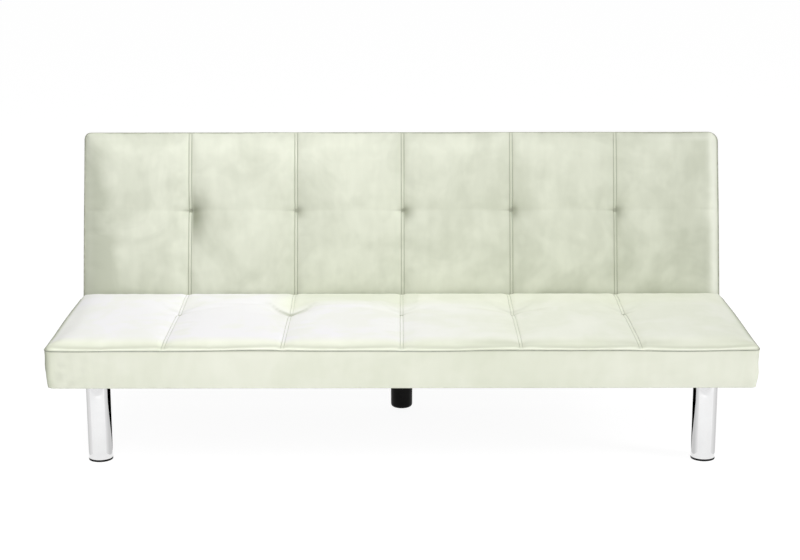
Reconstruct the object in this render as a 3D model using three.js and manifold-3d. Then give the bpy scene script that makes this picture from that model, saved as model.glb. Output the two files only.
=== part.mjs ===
// Click clack sofa bed: a tufted seat and back on steel rails, with chrome legs and ratchet hinges
// Millimetres, +Z up, the front faces -Y and +X is to the right seen from the front

import * as THREE from 'three';
import { mergeVertices } from 'three/addons/utils/BufferGeometryUtils.js';
import Module from 'manifold-3d';

const wasm = await Module();
wasm.setup();

// Whole sofa
const overallWidth = 1730;
const seatDepth = 540;
const seatBottomHeight = 212;
const seatSideHeight = 96; // bottom edge to welt
const backLength = 513;
const backThickness = 80;
const panelGap = 10; // between the pads when the back lies flat
const backTilt = 16; // degrees from upright
const pivotInset = 40; // pivot from the back's hinge end
const pivotDepth = 40; // pivot below the lying surface
const seating = 0.3; // gap where one piece rests on another
const overrun = 5; // how far a cut runs past what it cuts
const overlap = 0.5; // how far joined outlines differ, so that no two edges coincide

// Tufted covers
const seatSeamShares = [1 / 6, 2 / 6, 3 / 6, 4 / 6, 5 / 6];
const backSeamShares = [0.167, 0.334, 0.502, 0.673, 0.837];
const seatTuftRow = 205; // from the seat's rear edge
const backTuftRow = 300; // from the back's hinge end
const seatCrown = 13;
const backCrown = 10;
const crownReach = 110; // the crown rises over this distance from the edge
const seatHingeRiseShare = 0.75; // of the seat's crown, kept at its rear edge
const seamDepth = 5;
const seamSpread = 9;
const tuftDepth = 13;
const tuftSpread = 27;
const creaseDepth = 3;
const creaseLength = 75;
const creaseSpread = 11;
const coverCorner = 20; // radius of the corners seen from above
const edgeStep = 7; // first grid line in from the edge
const rollStep = 22; // second grid line in from the edge
const seamStep = 9; // grid line beside a seam
const puffStep = 30; // grid line where the panel starts to puff
const tuftStep = 14; // grid line beside a tuft, along the pad
const dimpleStep = 45; // grid line at the end of a tuft's dimple
const seatHingeRound = 14;
const backHingeRound = 25;
const sideBulge = 2;
const sideTaper = 4; // the sides draw in towards the bottom edge
const coverTopWall = 22; // cover and wadding over the foam
const coverFreeWall = 34; // cover and wadding at the front edge and at the back's top
const coverHingeWall = 8;

// Wooden frames
const railWidth = 45;
const seatRailHeight = 45;
const backRailHeight = 35;
const railArris = 2;
const clothThickness = 1.2;
const strapThickness = 1.5;
const strapWidth = 60;
const strapShares = [0.4, 0.72];

// Sinuous seat springs
const sinuousWire = 1.8; // radius
const sinuousSwing = 24; // half the width of the zigzag
const sinuousPitch = 46;
const sinuousLead = 26; // straight end
const sinuousDrop = 8; // centre of the wire below the rails' top
const springShares = [-2 / 3, -1 / 3, 1 / 3, 2 / 3]; // of the bay beside the centre rail

// Legs and base rails
const legRadius = 30;
const legWall = 1.5;
const legInset = 111; // from the side to the leg's axis
const frontLegInset = 101; // from the front edge
const footCapHeight = 5;
const footSpigotLength = 16;
const footEdge = 1.5;
const slotClearance = 0.8; // round the rail that a leg's top is slotted over
const legPlateThickness = 8; // sits inside the tube, below the slot
const studRadius = 5;
const studLength = 17;
const studClearance = 0.5;
const baseRailWidth = 40;
const baseRailHeight = 25;
const baseRailWall = 1.6;
const baseRailCorner = 3;
const baseRailFront = 85;
const baseRailTail = 180; // behind the pivot
const rearLegInset = 35; // from the base rails' rear ends
const railBoltRadius = 7;
const railBoltHead = 4.5;
const railBoltInset = 75; // from the rail's front end and from the seat's rear edge
const plugFlange = 3;
const plugInsert = 18;
const crossBarDepth = 40;
const crossBarHeight = 12;
const crossBarWall = 1.5;
const bumperRadius = 15;
const bumperEdge = 1;
const centreLegRadius = 30;
const centreLegFoot = 29; // radius above the rounded foot
const centreLegRound = 8;
const centreLegLift = 6; // stands clear of the floor until loaded
const centrePlateThickness = 3;
const centreStudLength = 30;

// Click clack hinges
const plateThickness = 4;
const plateGap = 0.6; // between the seat bracket and the back bracket
const pivotRadius = 5;
const turning = 0.3; // clearance of the turning pins
const boltHeadRadius = 8;
const boltHeadHeight = 5.5;
const nutRadius = 7.5;
const nutHeight = 6.5;
const nutPocketClearance = 1.5;
const bracketHeadRadius = 22;
const rootRadius = 25;
const tipRadius = 30;
const clickStep = 25; // degrees between two locking positions
const wallLead = 8; // degrees from the nose's middle to the locking wall
const rampSpan = 9; // degrees
const rootStart = -75; // degrees, where the ratchet leaves the neck
const rootEnd = 44; // degrees, where the ratchet meets the head
const neckAngle = 195; // degrees, where the neck's front edge leaves the head
const neckFront = 34; // ahead of the pivot at the foot
const neckRear = 30; // behind the pivot at the foot
const footReach = 80; // ahead of the pivot
const bracketFootDrop = 21; // height of the foot on the rail's side
const pawlReach = 47; // pivot to pawl pin
const noseAngle = -50; // degrees, in the back's own frame
const noseClearance = 0.6;
const noseWidth = 6;
const noseLength = 12;
const pawlBoss = 8;
const pawlKnee = 5;
const pawlLift = 11; // degrees, held clear of the teeth
const pawlTailReach = 15;
const pawlTailDrop = 3;
const pawlPinRadius = 4;
const rivetHeadRadius = 7;
const rivetHeadHeight = 2.4;
const backHeadRadius = 18;
const backKneeRadius = 12;
const armReach = 190;
const armDrop = 24;
const armEnd = 10;
const armScrewShares = [0.4, 0.7, 1];
const screwHeadRadius = 5;
const screwHeadHeight = 2.2;
const anchorReach = 73;
const anchorDrop = 31;
const anchorRadius = 6;
const lobeRadius = 9;
const hookRadius = 1.8;
const hookOverhang = 6.5; // the spring's hooks stand this far inside the brackets
const springWire = 0.6; // radius
const springRadius = 2.6;
const springCurls = 6;
const springPitch = 3;
const notchInset = 13; // the notch's inner wall from the base rail's side
const notchTop = 26; // above the pivot
const notchReach = 130; // from the pivot towards the back's top

// How finely round pieces are cut
const roundSegments = 24;
const smallSegments = 12;
const curveSegments = 6;
const cornerSegments = 2;
const wireSides = 5;
const curlSteps = 8;
const hexagonSides = 6;
const fullTurn = 360; // degrees

// Places that follow from the sizes above
const halfWidth = overallWidth / 2;
const seatTop = seatBottomHeight + seatSideHeight;
const pivotY = seatDepth + panelGap + pivotInset;
const pivotZ = seatTop - pivotDepth;
const legX = halfWidth - legInset;
const baseRailRear = pivotY + baseRailTail;
const rearLegPlace = baseRailRear - rearLegInset;
const baseRailTop = seatBottomHeight - seating;
const baseRailBottom = baseRailTop - baseRailHeight;
const hingeX = legX + baseRailWidth / 2; // outer side of a base rail
const seatPlateX = hingeX + seating;
const backPlateX = seatPlateX + plateThickness + plateGap;
const sideRailX = backPlateX + plateThickness + seating;
const sideRailOuter = sideRailX + railWidth;
const pocketX = sideRailOuter + seating;
const uprightAngle = 90 - backTilt;
const pivotInPad = backThickness - pivotDepth; // pivot above the back's rear face
const notchX = hingeX - notchInset;

const axes = [new THREE.Vector3(1, 0, 0), new THREE.Vector3(0, 1, 0), new THREE.Vector3(0, 0, 1)];
const across = 0;
const along = 1;
const upward = 2;
const radians = THREE.MathUtils.degToRad;

function polar(radius, degrees) {
  return new THREE.Vector2(radius * Math.cos(radians(degrees)), radius * Math.sin(radians(degrees)));
}

// Solids

function weld(geometry) {
  const bare = geometry.clone();
  bare.deleteAttribute('normal');
  bare.deleteAttribute('uv');
  const merged = mergeVertices(bare);
  const corners = merged.index.array;
  const kept = [];
  for (let first = 0; first < corners.length; first += 3) {
    const [a, b, c] = corners.slice(first, first + 3);
    if (a !== b && b !== c && c !== a) kept.push(a, b, c);
  }
  merged.setIndex(kept);
  merged.computeVertexNormals();
  return merged;
}

function toSolid(geometry) {
  const welded = weld(geometry);
  return new wasm.Manifold(new wasm.Mesh({
    numProp: 3,
    vertProperties: new Float32Array(welded.attributes.position.array),
    triVerts: new Uint32Array(welded.index.array),
  }));
}

function toGeometry(solid) {
  const mesh = solid.getMesh();
  const geometry = new THREE.BufferGeometry();
  geometry.setAttribute('position', new THREE.BufferAttribute(new Float32Array(mesh.vertProperties), 3));
  geometry.setIndex(new THREE.BufferAttribute(new Uint32Array(mesh.triVerts), 1));
  geometry.computeVertexNormals();
  return geometry;
}

function join(...bodies) {
  return toGeometry(bodies.map(toSolid).reduce((whole, body) => whole.add(body)));
}

function cut(body, ...tools) {
  return toGeometry(tools.map(toSolid).reduce((rest, tool) => rest.subtract(tool), toSolid(body)));
}

function block(low, high) {
  const size = high.map((value, axis) => value - low[axis]);
  const middle = high.map((value, axis) => (value + low[axis]) / 2);
  return weld(new THREE.BoxGeometry(...size).translate(...middle));
}

// A flat outline pushed along an axis: its x and y lie on the two axes that follow that one
function prism(shape, axis, from, to, segments = curveSegments) {
  const turn = new THREE.Matrix4().makeBasis(axes[(axis + 1) % 3], axes[(axis + 2) % 3], axes[axis]);
  const options = { depth: to - from, bevelEnabled: false, curveSegments: segments };
  const geometry = new THREE.ExtrudeGeometry(shape, options).translate(0, 0, from);
  return weld(geometry.applyMatrix4(turn));
}

// A turned piece: profile points are radius and place on the axis, listed from low to high outside
function turned(profile, axis, segments = roundSegments) {
  const points = profile.map(([radius, place]) => new THREE.Vector2(radius, place));
  const turn = new THREE.Matrix4().makeBasis(axes[(axis + 2) % 3], axes[axis], axes[(axis + 1) % 3]);
  return weld(new THREE.LatheGeometry(points, segments).applyMatrix4(turn));
}

// A timber with small arrises, lying along one axis between two opposite corners
function board(low, high, axis) {
  const a = (axis + 1) % 3;
  const b = (axis + 2) % 3;
  const shape = new THREE.Shape([
    new THREE.Vector2(low[a] + railArris, low[b]),
    new THREE.Vector2(high[a] - railArris, low[b]),
    new THREE.Vector2(high[a], low[b] + railArris),
    new THREE.Vector2(high[a], high[b] - railArris),
    new THREE.Vector2(high[a] - railArris, high[b]),
    new THREE.Vector2(low[a] + railArris, high[b]),
    new THREE.Vector2(low[a], high[b] - railArris),
    new THREE.Vector2(low[a], low[b] + railArris),
  ]);
  return prism(shape, axis, low[axis], high[axis]);
}

function roundedRectangle(left, bottom, right, top, radius) {
  const shape = new THREE.Shape();
  shape.moveTo(left + radius, bottom);
  shape.lineTo(right - radius, bottom);
  shape.absarc(right - radius, bottom + radius, radius, -Math.PI / 2, 0);
  shape.lineTo(right, top - radius);
  shape.absarc(right - radius, top - radius, radius, 0, Math.PI / 2);
  shape.lineTo(left + radius, top);
  shape.absarc(left + radius, top - radius, radius, Math.PI / 2, Math.PI);
  shape.lineTo(left, bottom + radius);
  shape.absarc(left + radius, bottom + radius, radius, Math.PI, Math.PI * 1.5);
  return shape;
}

// Two circles and the straight sides that touch both
function link(from, fromRadius, to, toRadius) {
  const way = to.clone().sub(from);
  const lean = Math.acos((fromRadius - toRadius) / way.length());
  const heading = way.angle();
  const shape = new THREE.Shape();
  shape.absarc(from.x, from.y, fromRadius, heading + lean, heading - lean + 2 * Math.PI);
  shape.absarc(to.x, to.y, toRadius, heading - lean, heading + lean);
  return shape;
}

function disc(centre, radius) {
  const shape = new THREE.Shape();
  shape.absarc(centre.x, centre.y, radius, 0, 2 * Math.PI);
  return shape;
}

// A closed wire through points, with a sideways direction for each of them
function wire(points, sideways, radius) {
  const positions = [];
  const triangles = [];
  const last = points.length - 1;
  points.forEach((point, step) => {
    const ahead = points[Math.min(step + 1, last)].clone().sub(points[Math.max(step - 1, 0)]).normalize();
    const first = sideways[step].clone().addScaledVector(ahead, -sideways[step].dot(ahead)).normalize();
    const second = ahead.clone().cross(first);
    for (let side = 0; side < wireSides; side += 1) {
      const angle = (2 * Math.PI * side) / wireSides;
      const corner = point.clone();
      corner.addScaledVector(first, radius * Math.cos(angle));
      corner.addScaledVector(second, radius * Math.sin(angle));
      positions.push(...corner.toArray());
    }
  });
  for (let step = 0; step < last; step += 1) {
    for (let side = 0; side < wireSides; side += 1) {
      const next = (side + 1) % wireSides;
      const here = step * wireSides;
      const there = here + wireSides;
      triangles.push(here + side, here + next, there + next, here + side, there + next, there + side);
    }
  }
  for (let side = 1; side < wireSides - 1; side += 1) {
    const end = last * wireSides;
    triangles.push(0, side + 1, side, end, end + side, end + side + 1);
  }
  const geometry = new THREE.BufferGeometry();
  geometry.setAttribute('position', new THREE.Float32BufferAttribute(positions, 3));
  geometry.setIndex(triangles);
  geometry.computeVertexNormals();
  return geometry;
}

// Least distance between parts of one wire that are more than half a curl apart
function leastGap(points, radius) {
  let least = Infinity;
  points.forEach((point, step) => {
    for (let other = step + curlSteps / 2; other < points.length; other += 1) {
      least = Math.min(least, point.distanceTo(points[other]) - 2 * radius);
    }
  });
  return least;
}

// Materials

function finish(color, roughness, metalness) {
  return new THREE.MeshStandardMaterial({ color, roughness, metalness, flatShading: true });
}

const velvet = new THREE.MeshStandardMaterial({ color: 0xe4e8d6, roughness: 0.85, metalness: 0 });
const blackCloth = finish(0x1c1c1d, 0.95, 0);
const foam = finish(0xe8dfb8, 0.95, 0);
const webbing = finish(0x2c2b2a, 0.9, 0);
const pine = finish(0xc9a36b, 0.7, 0);
const chrome = finish(0xf2f2f2, 0.06, 1);
const blackSteel = finish(0x151515, 0.45, 0.6);
const zincSteel = finish(0xaeb0b2, 0.35, 0.9);
const springSteel = finish(0x77787a, 0.4, 0.9);
const blackPlastic = finish(0x121212, 0.5, 0);
const rubber = finish(0x1a1a1a, 0.9, 0);

// Scene graph: the seat stands still, the back turns about the pivot and each pawl about its pin

const sofa = new THREE.Group();
const seatGroup = new THREE.Group();
const backPivot = new THREE.Group();
const backPad = new THREE.Group();
backPivot.position.set(0, pivotY, pivotZ);
backPivot.rotation.x = radians(uprightAngle);
backPad.position.set(0, -pivotInset, -pivotInPad);
backPivot.add(backPad);
sofa.add(seatGroup, backPivot);

function piece(group, name, geometry, material) {
  const mesh = new THREE.Mesh(geometry, material);
  mesh.name = name;
  group.add(mesh);
}

// Tufted pads, built from the hinge end: a grid for the sewn face, and rings for the sides

function edgeRise(distance) {
  const share = THREE.MathUtils.clamp(distance / crownReach, 0, 1);
  return 1 - (1 - share) ** 3;
}

function faceRelief(pad, x, y) {
  const sideRise = edgeRise(halfWidth - Math.abs(x));
  const hingeRise = pad.hingeRise + (1 - pad.hingeRise) * edgeRise(y - pad.hingeRound);
  const endRise = Math.min(hingeRise, edgeRise(pad.length - y));
  let relief = pad.crown * sideRise * endRise;
  for (const seam of pad.seams) {
    const aside = x - seam;
    const tuftAway = y - pad.tuftRow;
    relief -= seamDepth * endRise * Math.exp(-((aside / seamSpread) ** 2));
    relief -= tuftDepth * Math.exp(-(Math.hypot(aside, tuftAway) / tuftSpread));
    relief -= creaseDepth * Math.exp(-Math.abs(aside) / creaseLength - (tuftAway / creaseSpread) ** 2);
  }
  return relief;
}

function padColumns(seams) {
  const left = [0, edgeStep, rollStep].map((step) => -halfWidth + step);
  const right = [rollStep, edgeStep, 0].map((step) => halfWidth - step);
  const borders = [-halfWidth, ...seams, halfWidth];
  const middles = borders.slice(1).map((border, panel) => (border + borders[panel]) / 2);
  const sewn = seams.flatMap((seam) => [-puffStep, -seamStep, 0, seamStep, puffStep].map((step) => seam + step));
  return [...left, ...sewn, ...middles, ...right].sort((a, b) => a - b);
}

function padRows(pad) {
  const start = pad.hingeRound;
  const tuft = pad.tuftRow;
  return [
    start,
    start + edgeStep,
    start + rollStep,
    (start + tuft) / 2,
    tuft - dimpleStep,
    tuft - tuftStep,
    tuft,
    tuft + tuftStep,
    tuft + dimpleStep,
    (pad.length + tuft) / 2,
    pad.length - rollStep,
    pad.length - edgeStep,
    pad.length,
  ];
}

// A place on one level of the pad, where the level's outline is drawn in and its corners are round
function padPlace(pad, x, y, level) {
  const span = halfWidth - level.side;
  const start = level.hinge;
  const end = pad.length - level.side;
  const share = (y - pad.hingeRound) / (pad.length - pad.hingeRound);
  let px = (x / halfWidth) * span;
  let py = start + share * (end - start);
  const outX = Math.abs(px) - (span - coverCorner);
  const outY = Math.max(start + coverCorner - py, py - (end - coverCorner));
  if (outX > 0 && outY > 0) {
    const pull = Math.max(outX, outY) / Math.hypot(outX, outY);
    px = Math.sign(px) * (span - coverCorner + outX * pull);
    py = py < pad.length / 2 ? start + coverCorner - outY * pull : end - coverCorner + outY * pull;
  }
  return [px, py];
}

function padSolid(pad) {
  const columns = padColumns(pad.seams);
  const rows = padRows(pad);
  const round = pad.hingeRound;
  const soft = round * (1 - Math.SQRT1_2);
  const levels = [
    { height: pad.thickness, side: 0, hinge: round },
    { height: pad.thickness - soft, side: -sideBulge / 2, hinge: soft },
    { height: pad.thickness - round, side: -sideBulge, hinge: 0 },
    { height: round, side: sideTaper / 2, hinge: 0 },
    { height: 0, side: sideTaper, hinge: round * Math.SQRT1_2 },
  ];
  const positions = [];
  const triangles = [];
  for (const y of rows) {
    for (const x of columns) {
      const [px, py] = padPlace(pad, x, y, levels[0]);
      positions.push(px, py, pad.thickness + faceRelief(pad, px, py));
    }
  }
  const wide = columns.length;
  const deep = rows.length;
  for (let row = 0; row < deep - 1; row += 1) {
    for (let column = 0; column < wide - 1; column += 1) {
      const here = row * wide + column;
      triangles.push(here, here + 1, here + wide + 1, here, here + wide + 1, here + wide);
    }
  }
  const rim = [];
  for (let column = 0; column < wide - 1; column += 1) rim.push([column, 0]);
  for (let row = 0; row < deep - 1; row += 1) rim.push([wide - 1, row]);
  for (let column = wide - 1; column > 0; column -= 1) rim.push([column, deep - 1]);
  for (let row = deep - 1; row > 0; row -= 1) rim.push([0, row]);
  let upper = rim.map(([column, row]) => row * wide + column);
  for (const level of levels.slice(1)) {
    const first = positions.length / 3;
    for (const [column, row] of rim) {
      positions.push(...padPlace(pad, columns[column], rows[row], level), level.height);
    }
    const lower = rim.map((place, step) => first + step);
    lower.forEach((corner, step) => {
      const next = (step + 1) % rim.length;
      triangles.push(upper[step], corner, lower[next], upper[step], lower[next], upper[next]);
    });
    upper = lower;
  }
  const middle = positions.length / 3;
  positions.push(0, pad.length / 2, 0);
  upper.forEach((corner, step) => triangles.push(middle, upper[(step + 1) % rim.length], corner));
  const geometry = new THREE.BufferGeometry();
  geometry.setAttribute('position', new THREE.Float32BufferAttribute(positions, 3));
  geometry.setIndex(triangles);
  return geometry;
}

function padPocket(pad) {
  return block(
    [-pocketX, coverHingeWall, -overrun],
    [pocketX, pad.length - coverFreeWall, pad.thickness - coverTopWall],
  );
}

function seamPlaces(shares) {
  return shares.map((share) => overallWidth * share - halfWidth);
}

const seatPad = {
  length: seatDepth,
  thickness: seatSideHeight,
  crown: seatCrown,
  tuftRow: seatTuftRow,
  hingeRound: seatHingeRound,
  hingeRise: seatHingeRiseShare,
  seams: seamPlaces(seatSeamShares),
};

const backPadForm = {
  length: backLength,
  thickness: backThickness,
  crown: backCrown,
  tuftRow: backTuftRow,
  hingeRound: backHingeRound,
  hingeRise: 0,
  seams: seamPlaces(backSeamShares),
};

// Seat: cover, foam, timber frame, springs and the cloth below

const seatRailLow = seatBottomHeight + clothThickness + seating;
const seatRailHigh = seatRailLow + seatRailHeight;
const frontRailFront = coverFreeWall + seating;
const frontRailRear = frontRailFront + railWidth;
const rearRailRear = seatDepth - coverHingeWall - seating;
const rearRailFront = rearRailRear - railWidth;
const sideRailMiddle = (sideRailX + sideRailOuter) / 2;

const seatCover = cut(padSolid(seatPad), padPocket(seatPad));
seatCover.rotateZ(Math.PI).translate(0, seatDepth, seatBottomHeight);
piece(seatGroup, 'seat_cover', seatCover, velvet);

piece(seatGroup, 'seat_foam', block(
  [-sideRailOuter, frontRailFront, seatRailHigh + seating],
  [sideRailOuter, rearRailRear, seatTop - coverTopWall - seating],
), foam);

piece(seatGroup, 'seat_dust_cover', block(
  [-sideRailOuter, frontRailFront, seatBottomHeight],
  [sideRailOuter, rearRailRear, seatBottomHeight + clothThickness],
), blackCloth);

function crossRail(name, front, rear) {
  const low = [-sideRailOuter, front, seatRailLow];
  piece(seatGroup, name, board(low, [sideRailOuter, rear, seatRailHigh], across), pine);
}

crossRail('seat_front_rail', frontRailFront, frontRailRear);
crossRail('seat_rear_rail', rearRailFront, rearRailRear);

function lengthRail(name, middle) {
  const low = [middle - railWidth / 2, frontRailRear + seating, seatRailLow];
  const high = [middle + railWidth / 2, rearRailFront - seating, seatRailHigh];
  piece(seatGroup, name, board(low, high, along), pine);
}

lengthRail('seat_left_rail', -sideRailMiddle);
lengthRail('seat_left_bearer', -legX);
lengthRail('seat_centre_rail', 0);
lengthRail('seat_right_bearer', legX);
lengthRail('seat_right_rail', sideRailMiddle);

function sinuousSpring(x) {
  const start = frontRailRear + seating;
  const end = rearRailFront - seating;
  const waving = end - start - 2 * sinuousLead;
  const waves = Math.round(waving / sinuousPitch);
  const height = seatRailHigh - sinuousDrop;
  const points = [new THREE.Vector3(x, start, height)];
  for (let step = 0; step <= waves * curlSteps; step += 1) {
    const swing = sinuousSwing * Math.sin((2 * Math.PI * step) / curlSteps);
    points.push(new THREE.Vector3(x + swing, start + sinuousLead + (waving * step) / (waves * curlSteps), height));
  }
  points.push(new THREE.Vector3(x, end, height));
  return wire(points, points.map(() => axes[upward]), sinuousWire);
}

const bay = legX - railWidth; // centre rail to bearer
const springPlaces = springShares.map((share) => share * bay + (Math.sign(share) * railWidth) / 2);
springPlaces.forEach((x, place) => {
  piece(seatGroup, `seat_spring_${place + 1}`, sinuousSpring(x), springSteel);
});

// Chrome legs: the top is slotted over its base rail, a studded plate sits below the rail and a cap at the foot

const legSaddle = baseRailBottom - seating; // where the rail rests in the leg
const legTop = baseRailTop - seating;
const legBore = legRadius - legWall;
const spigotRadius = legBore - seating;
const legPlaces = [
  ['front_left', -legX, frontLegInset],
  ['front_right', legX, frontLegInset],
  ['rear_left', -legX, rearLegPlace],
  ['rear_right', legX, rearLegPlace],
];

for (const [place, x, y] of legPlaces) {
  const tubeLow = footCapHeight + seating;
  const tube = turned([
    [legRadius, tubeLow],
    [legRadius, legTop],
    [legBore, legTop],
    [legBore, tubeLow],
    [legRadius, tubeLow],
  ], upward);
  const cap = turned([
    [0, 0],
    [legRadius - footEdge, 0],
    [legRadius, footEdge],
    [legRadius, footCapHeight],
    [spigotRadius, footCapHeight],
    [spigotRadius, footCapHeight + footSpigotLength],
    [0, footCapHeight + footSpigotLength],
  ], upward);
  const plate = turned([
    [0, legSaddle - legPlateThickness],
    [spigotRadius, legSaddle - legPlateThickness],
    [spigotRadius, legSaddle],
    [studRadius, legSaddle],
    [studRadius, legSaddle + studLength],
    [0, legSaddle + studLength],
  ], upward);
  const slotSide = baseRailWidth / 2 + slotClearance;
  const slot = block(
    [x - slotSide, Math.max(y - legRadius - overrun, baseRailFront - slotClearance), legSaddle],
    [x + slotSide, y + legRadius + overrun, legTop + overrun],
  );
  piece(seatGroup, `${place}_leg`, cut(tube.translate(x, y, 0), slot), chrome);
  piece(seatGroup, `${place}_foot_cap`, cap.translate(x, y, 0), blackPlastic);
  piece(seatGroup, `${place}_leg_plate`, plate.translate(x, y, 0), zincSteel);
}

// Centre support leg below the seat's rear rail

const centreLegY = (rearRailFront + rearRailRear) / 2;
const centrePlateBottom = baseRailTop - centrePlateThickness;
const centreLegTop = centrePlateBottom - seating;
const centreBore = studRadius + studClearance;
const footRound = [0, 1, 2, 3].map((step) => {
  const corner = polar(centreLegRound, -90 + 30 * step);
  return [centreLegFoot - centreLegRound + corner.x, centreLegLift + centreLegRound + corner.y];
});
const centreLeg = turned([
  [0, centreLegLift],
  ...footRound,
  [centreLegRadius, centreLegTop],
  [centreBore, centreLegTop],
  [centreBore, centreLegTop - centreStudLength],
  [0, centreLegTop - centreStudLength],
], upward);
const centrePlate = turned([
  [0, centreLegTop - centreStudLength + studClearance],
  [studRadius, centreLegTop - centreStudLength + studClearance],
  [studRadius, centrePlateBottom],
  [centreLegRadius, centrePlateBottom],
  [centreLegRadius, baseRailTop],
  [0, baseRailTop],
], upward);
piece(seatGroup, 'centre_leg', centreLeg.translate(0, centreLegY, 0), blackPlastic);
piece(seatGroup, 'centre_leg_plate', centrePlate.translate(0, centreLegY, 0), zincSteel);

// Base: a steel tube under each bearer, closed at the rear, and a flat bar that carries the lying back

function tubeSection(left, bottom, right, top, wall) {
  const section = roundedRectangle(left, bottom, right, top, baseRailCorner);
  const inner = [left + wall, bottom + wall, right - wall, top - wall];
  section.holes.push(roundedRectangle(...inner, baseRailCorner - wall));
  return section;
}

function baseRail(x) {
  const left = x - baseRailWidth / 2;
  const section = tubeSection(baseRailBottom, left, baseRailTop, left + baseRailWidth, baseRailWall);
  const rail = prism(section, along, baseRailFront, baseRailRear, cornerSegments);
  const studHoles = [frontLegInset, rearLegPlace].map((y) => turned([
    [0, baseRailBottom - overrun],
    [studRadius + studClearance, baseRailBottom - overrun],
    [studRadius + studClearance, baseRailBottom + overrun],
    [0, baseRailBottom + overrun],
  ], upward, smallSegments).translate(x, y, 0));
  const boltHeads = [baseRailFront + railBoltInset, seatDepth - railBoltInset].map((y) => turned([
    [0, baseRailBottom - railBoltHead],
    [railBoltRadius, baseRailBottom - railBoltHead],
    [railBoltRadius, baseRailBottom + baseRailWall / 2],
    [0, baseRailBottom + baseRailWall / 2],
  ], upward, 6).translate(x, y, 0));
  return join(cut(rail, ...studHoles), ...boltHeads);
}

function railPlug(x) {
  const left = x - baseRailWidth / 2;
  const inset = baseRailWall + 2 * seating;
  const face = roundedRectangle(baseRailBottom, left, baseRailTop, left + baseRailWidth, baseRailCorner);
  const flangeLow = baseRailRear + seating;
  const flange = prism(face, along, flangeLow, flangeLow + plugFlange, cornerSegments);
  const insert = block(
    [left + inset, baseRailRear - plugInsert, baseRailBottom + inset],
    [left + baseRailWidth - inset, flangeLow + plugFlange / 2, baseRailTop - inset],
  );
  const hollow = block(
    [left + 2 * inset, baseRailRear - plugInsert - overrun, baseRailBottom + 2 * inset],
    [left + baseRailWidth - 2 * inset, baseRailRear, baseRailTop - 2 * inset],
  );
  return cut(join(flange, insert), hollow);
}

piece(seatGroup, 'left_base_rail', baseRail(-legX), blackSteel);
piece(seatGroup, 'right_base_rail', baseRail(legX), blackSteel);
piece(seatGroup, 'left_rail_plug', railPlug(-legX), blackPlastic);
piece(seatGroup, 'right_rail_plug', railPlug(legX), blackPlastic);

const crossBarLow = baseRailTop + seating;
const crossBarHigh = crossBarLow + crossBarHeight;
const crossBarFront = rearLegPlace - crossBarDepth / 2;
const crossBarRear = crossBarFront + crossBarDepth;
const crossBarSection = tubeSection(crossBarFront, crossBarLow, crossBarRear, crossBarHigh, crossBarWall);
const crossBar = prism(crossBarSection, across, -sideRailOuter, sideRailOuter, cornerSegments);
piece(seatGroup, 'rear_cross_bar', crossBar, blackSteel);

const bumperLow = crossBarHigh + seating;
const bumperHigh = seatTop - backThickness - seating;
for (const [name, x] of [['left', -sideRailMiddle], ['centre', 0], ['right', sideRailMiddle]]) {
  const bumper = turned([
    [0, bumperLow],
    [bumperRadius, bumperLow],
    [bumperRadius, bumperHigh - bumperEdge],
    [bumperRadius - bumperEdge, bumperHigh],
    [0, bumperHigh],
  ], upward);
  piece(seatGroup, `${name}_bumper`, bumper.translate(x, rearLegPlace, 0), rubber);
}

// Click clack hinges: a toothed bracket on each base rail, and a pawl on the back's bracket

// Places across the sofa are measured from its middle, and the left side mirrors them
function sidePrism(side, shape, inner, outer) {
  return prism(shape, across, Math.min(side * inner, side * outer), Math.max(side * inner, side * outer));
}

function sideTurned(side, profile, segments) {
  const mirrored = profile.map(([radius, place]) => [radius, side * place]);
  return turned(side < 0 ? mirrored.reverse() : mirrored, across, segments);
}

function sideBar(side, radius, inner, outer, segments = smallSegments) {
  return sideTurned(side, [[0, inner], [radius, inner], [radius, outer], [0, outer]], segments);
}

function sideBlock(side, inner, outer, low, high) {
  return block([Math.min(side * inner, side * outer), ...low], [Math.max(side * inner, side * outer), ...high]);
}

function arcPoints(radius, from, to, steps) {
  return Array.from({ length: steps + 1 }, (_, step) => polar(radius, from + ((to - from) * step) / steps));
}

// Outline of the seat bracket about the pivot: neck, ratchet, head and foot
function seatBracketOutline() {
  const outline = [];
  const locks = [uprightAngle - 2 * clickStep, uprightAngle - clickStep, uprightAngle];
  let reached = rootStart;
  for (const lock of locks) {
    const wall = lock + noseAngle - wallLead;
    outline.push(...arcPoints(rootRadius, reached, wall - rampSpan, 3));
    outline.push(polar(tipRadius, wall));
    reached = wall;
  }
  outline.push(...arcPoints(rootRadius, reached, rootEnd, 4));
  outline.push(...arcPoints(bracketHeadRadius, rootEnd, neckAngle, 10));
  const footTop = baseRailTop - pivotZ;
  const footBottom = footTop - bracketFootDrop;
  outline.push(new THREE.Vector2(-neckFront, footTop));
  outline.push(new THREE.Vector2(-footReach, footTop));
  outline.push(new THREE.Vector2(-footReach, footBottom));
  outline.push(new THREE.Vector2(neckRear, footBottom));
  outline.push(new THREE.Vector2(neckRear, footTop));
  return outline;
}

function seatBracket(side) {
  const outline = new THREE.Shape(seatBracketOutline());
  outline.holes.push(disc(new THREE.Vector2(0, 0), pivotRadius + turning));
  const plate = sidePrism(side, outline, seatPlateX, seatPlateX + plateThickness);
  const screwY = [-footReach + 2 * screwHeadRadius, (neckRear - footReach) / 2, neckRear - 2 * screwHeadRadius];
  const screwZ = baseRailTop - pivotZ - bracketFootDrop / 2;
  const face = seatPlateX + plateThickness;
  const heads = screwY.map((y) => sideTurned(side, [
    [0, face - screwHeadHeight],
    [screwHeadRadius, face - screwHeadHeight],
    [screwHeadRadius, face + screwHeadHeight / 2],
    [screwHeadRadius / 2, face + screwHeadHeight],
    [0, face + screwHeadHeight],
  ], smallSegments).translate(0, y, screwZ));
  return join(plate, ...heads).translate(0, pivotY, pivotZ);
}

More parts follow.
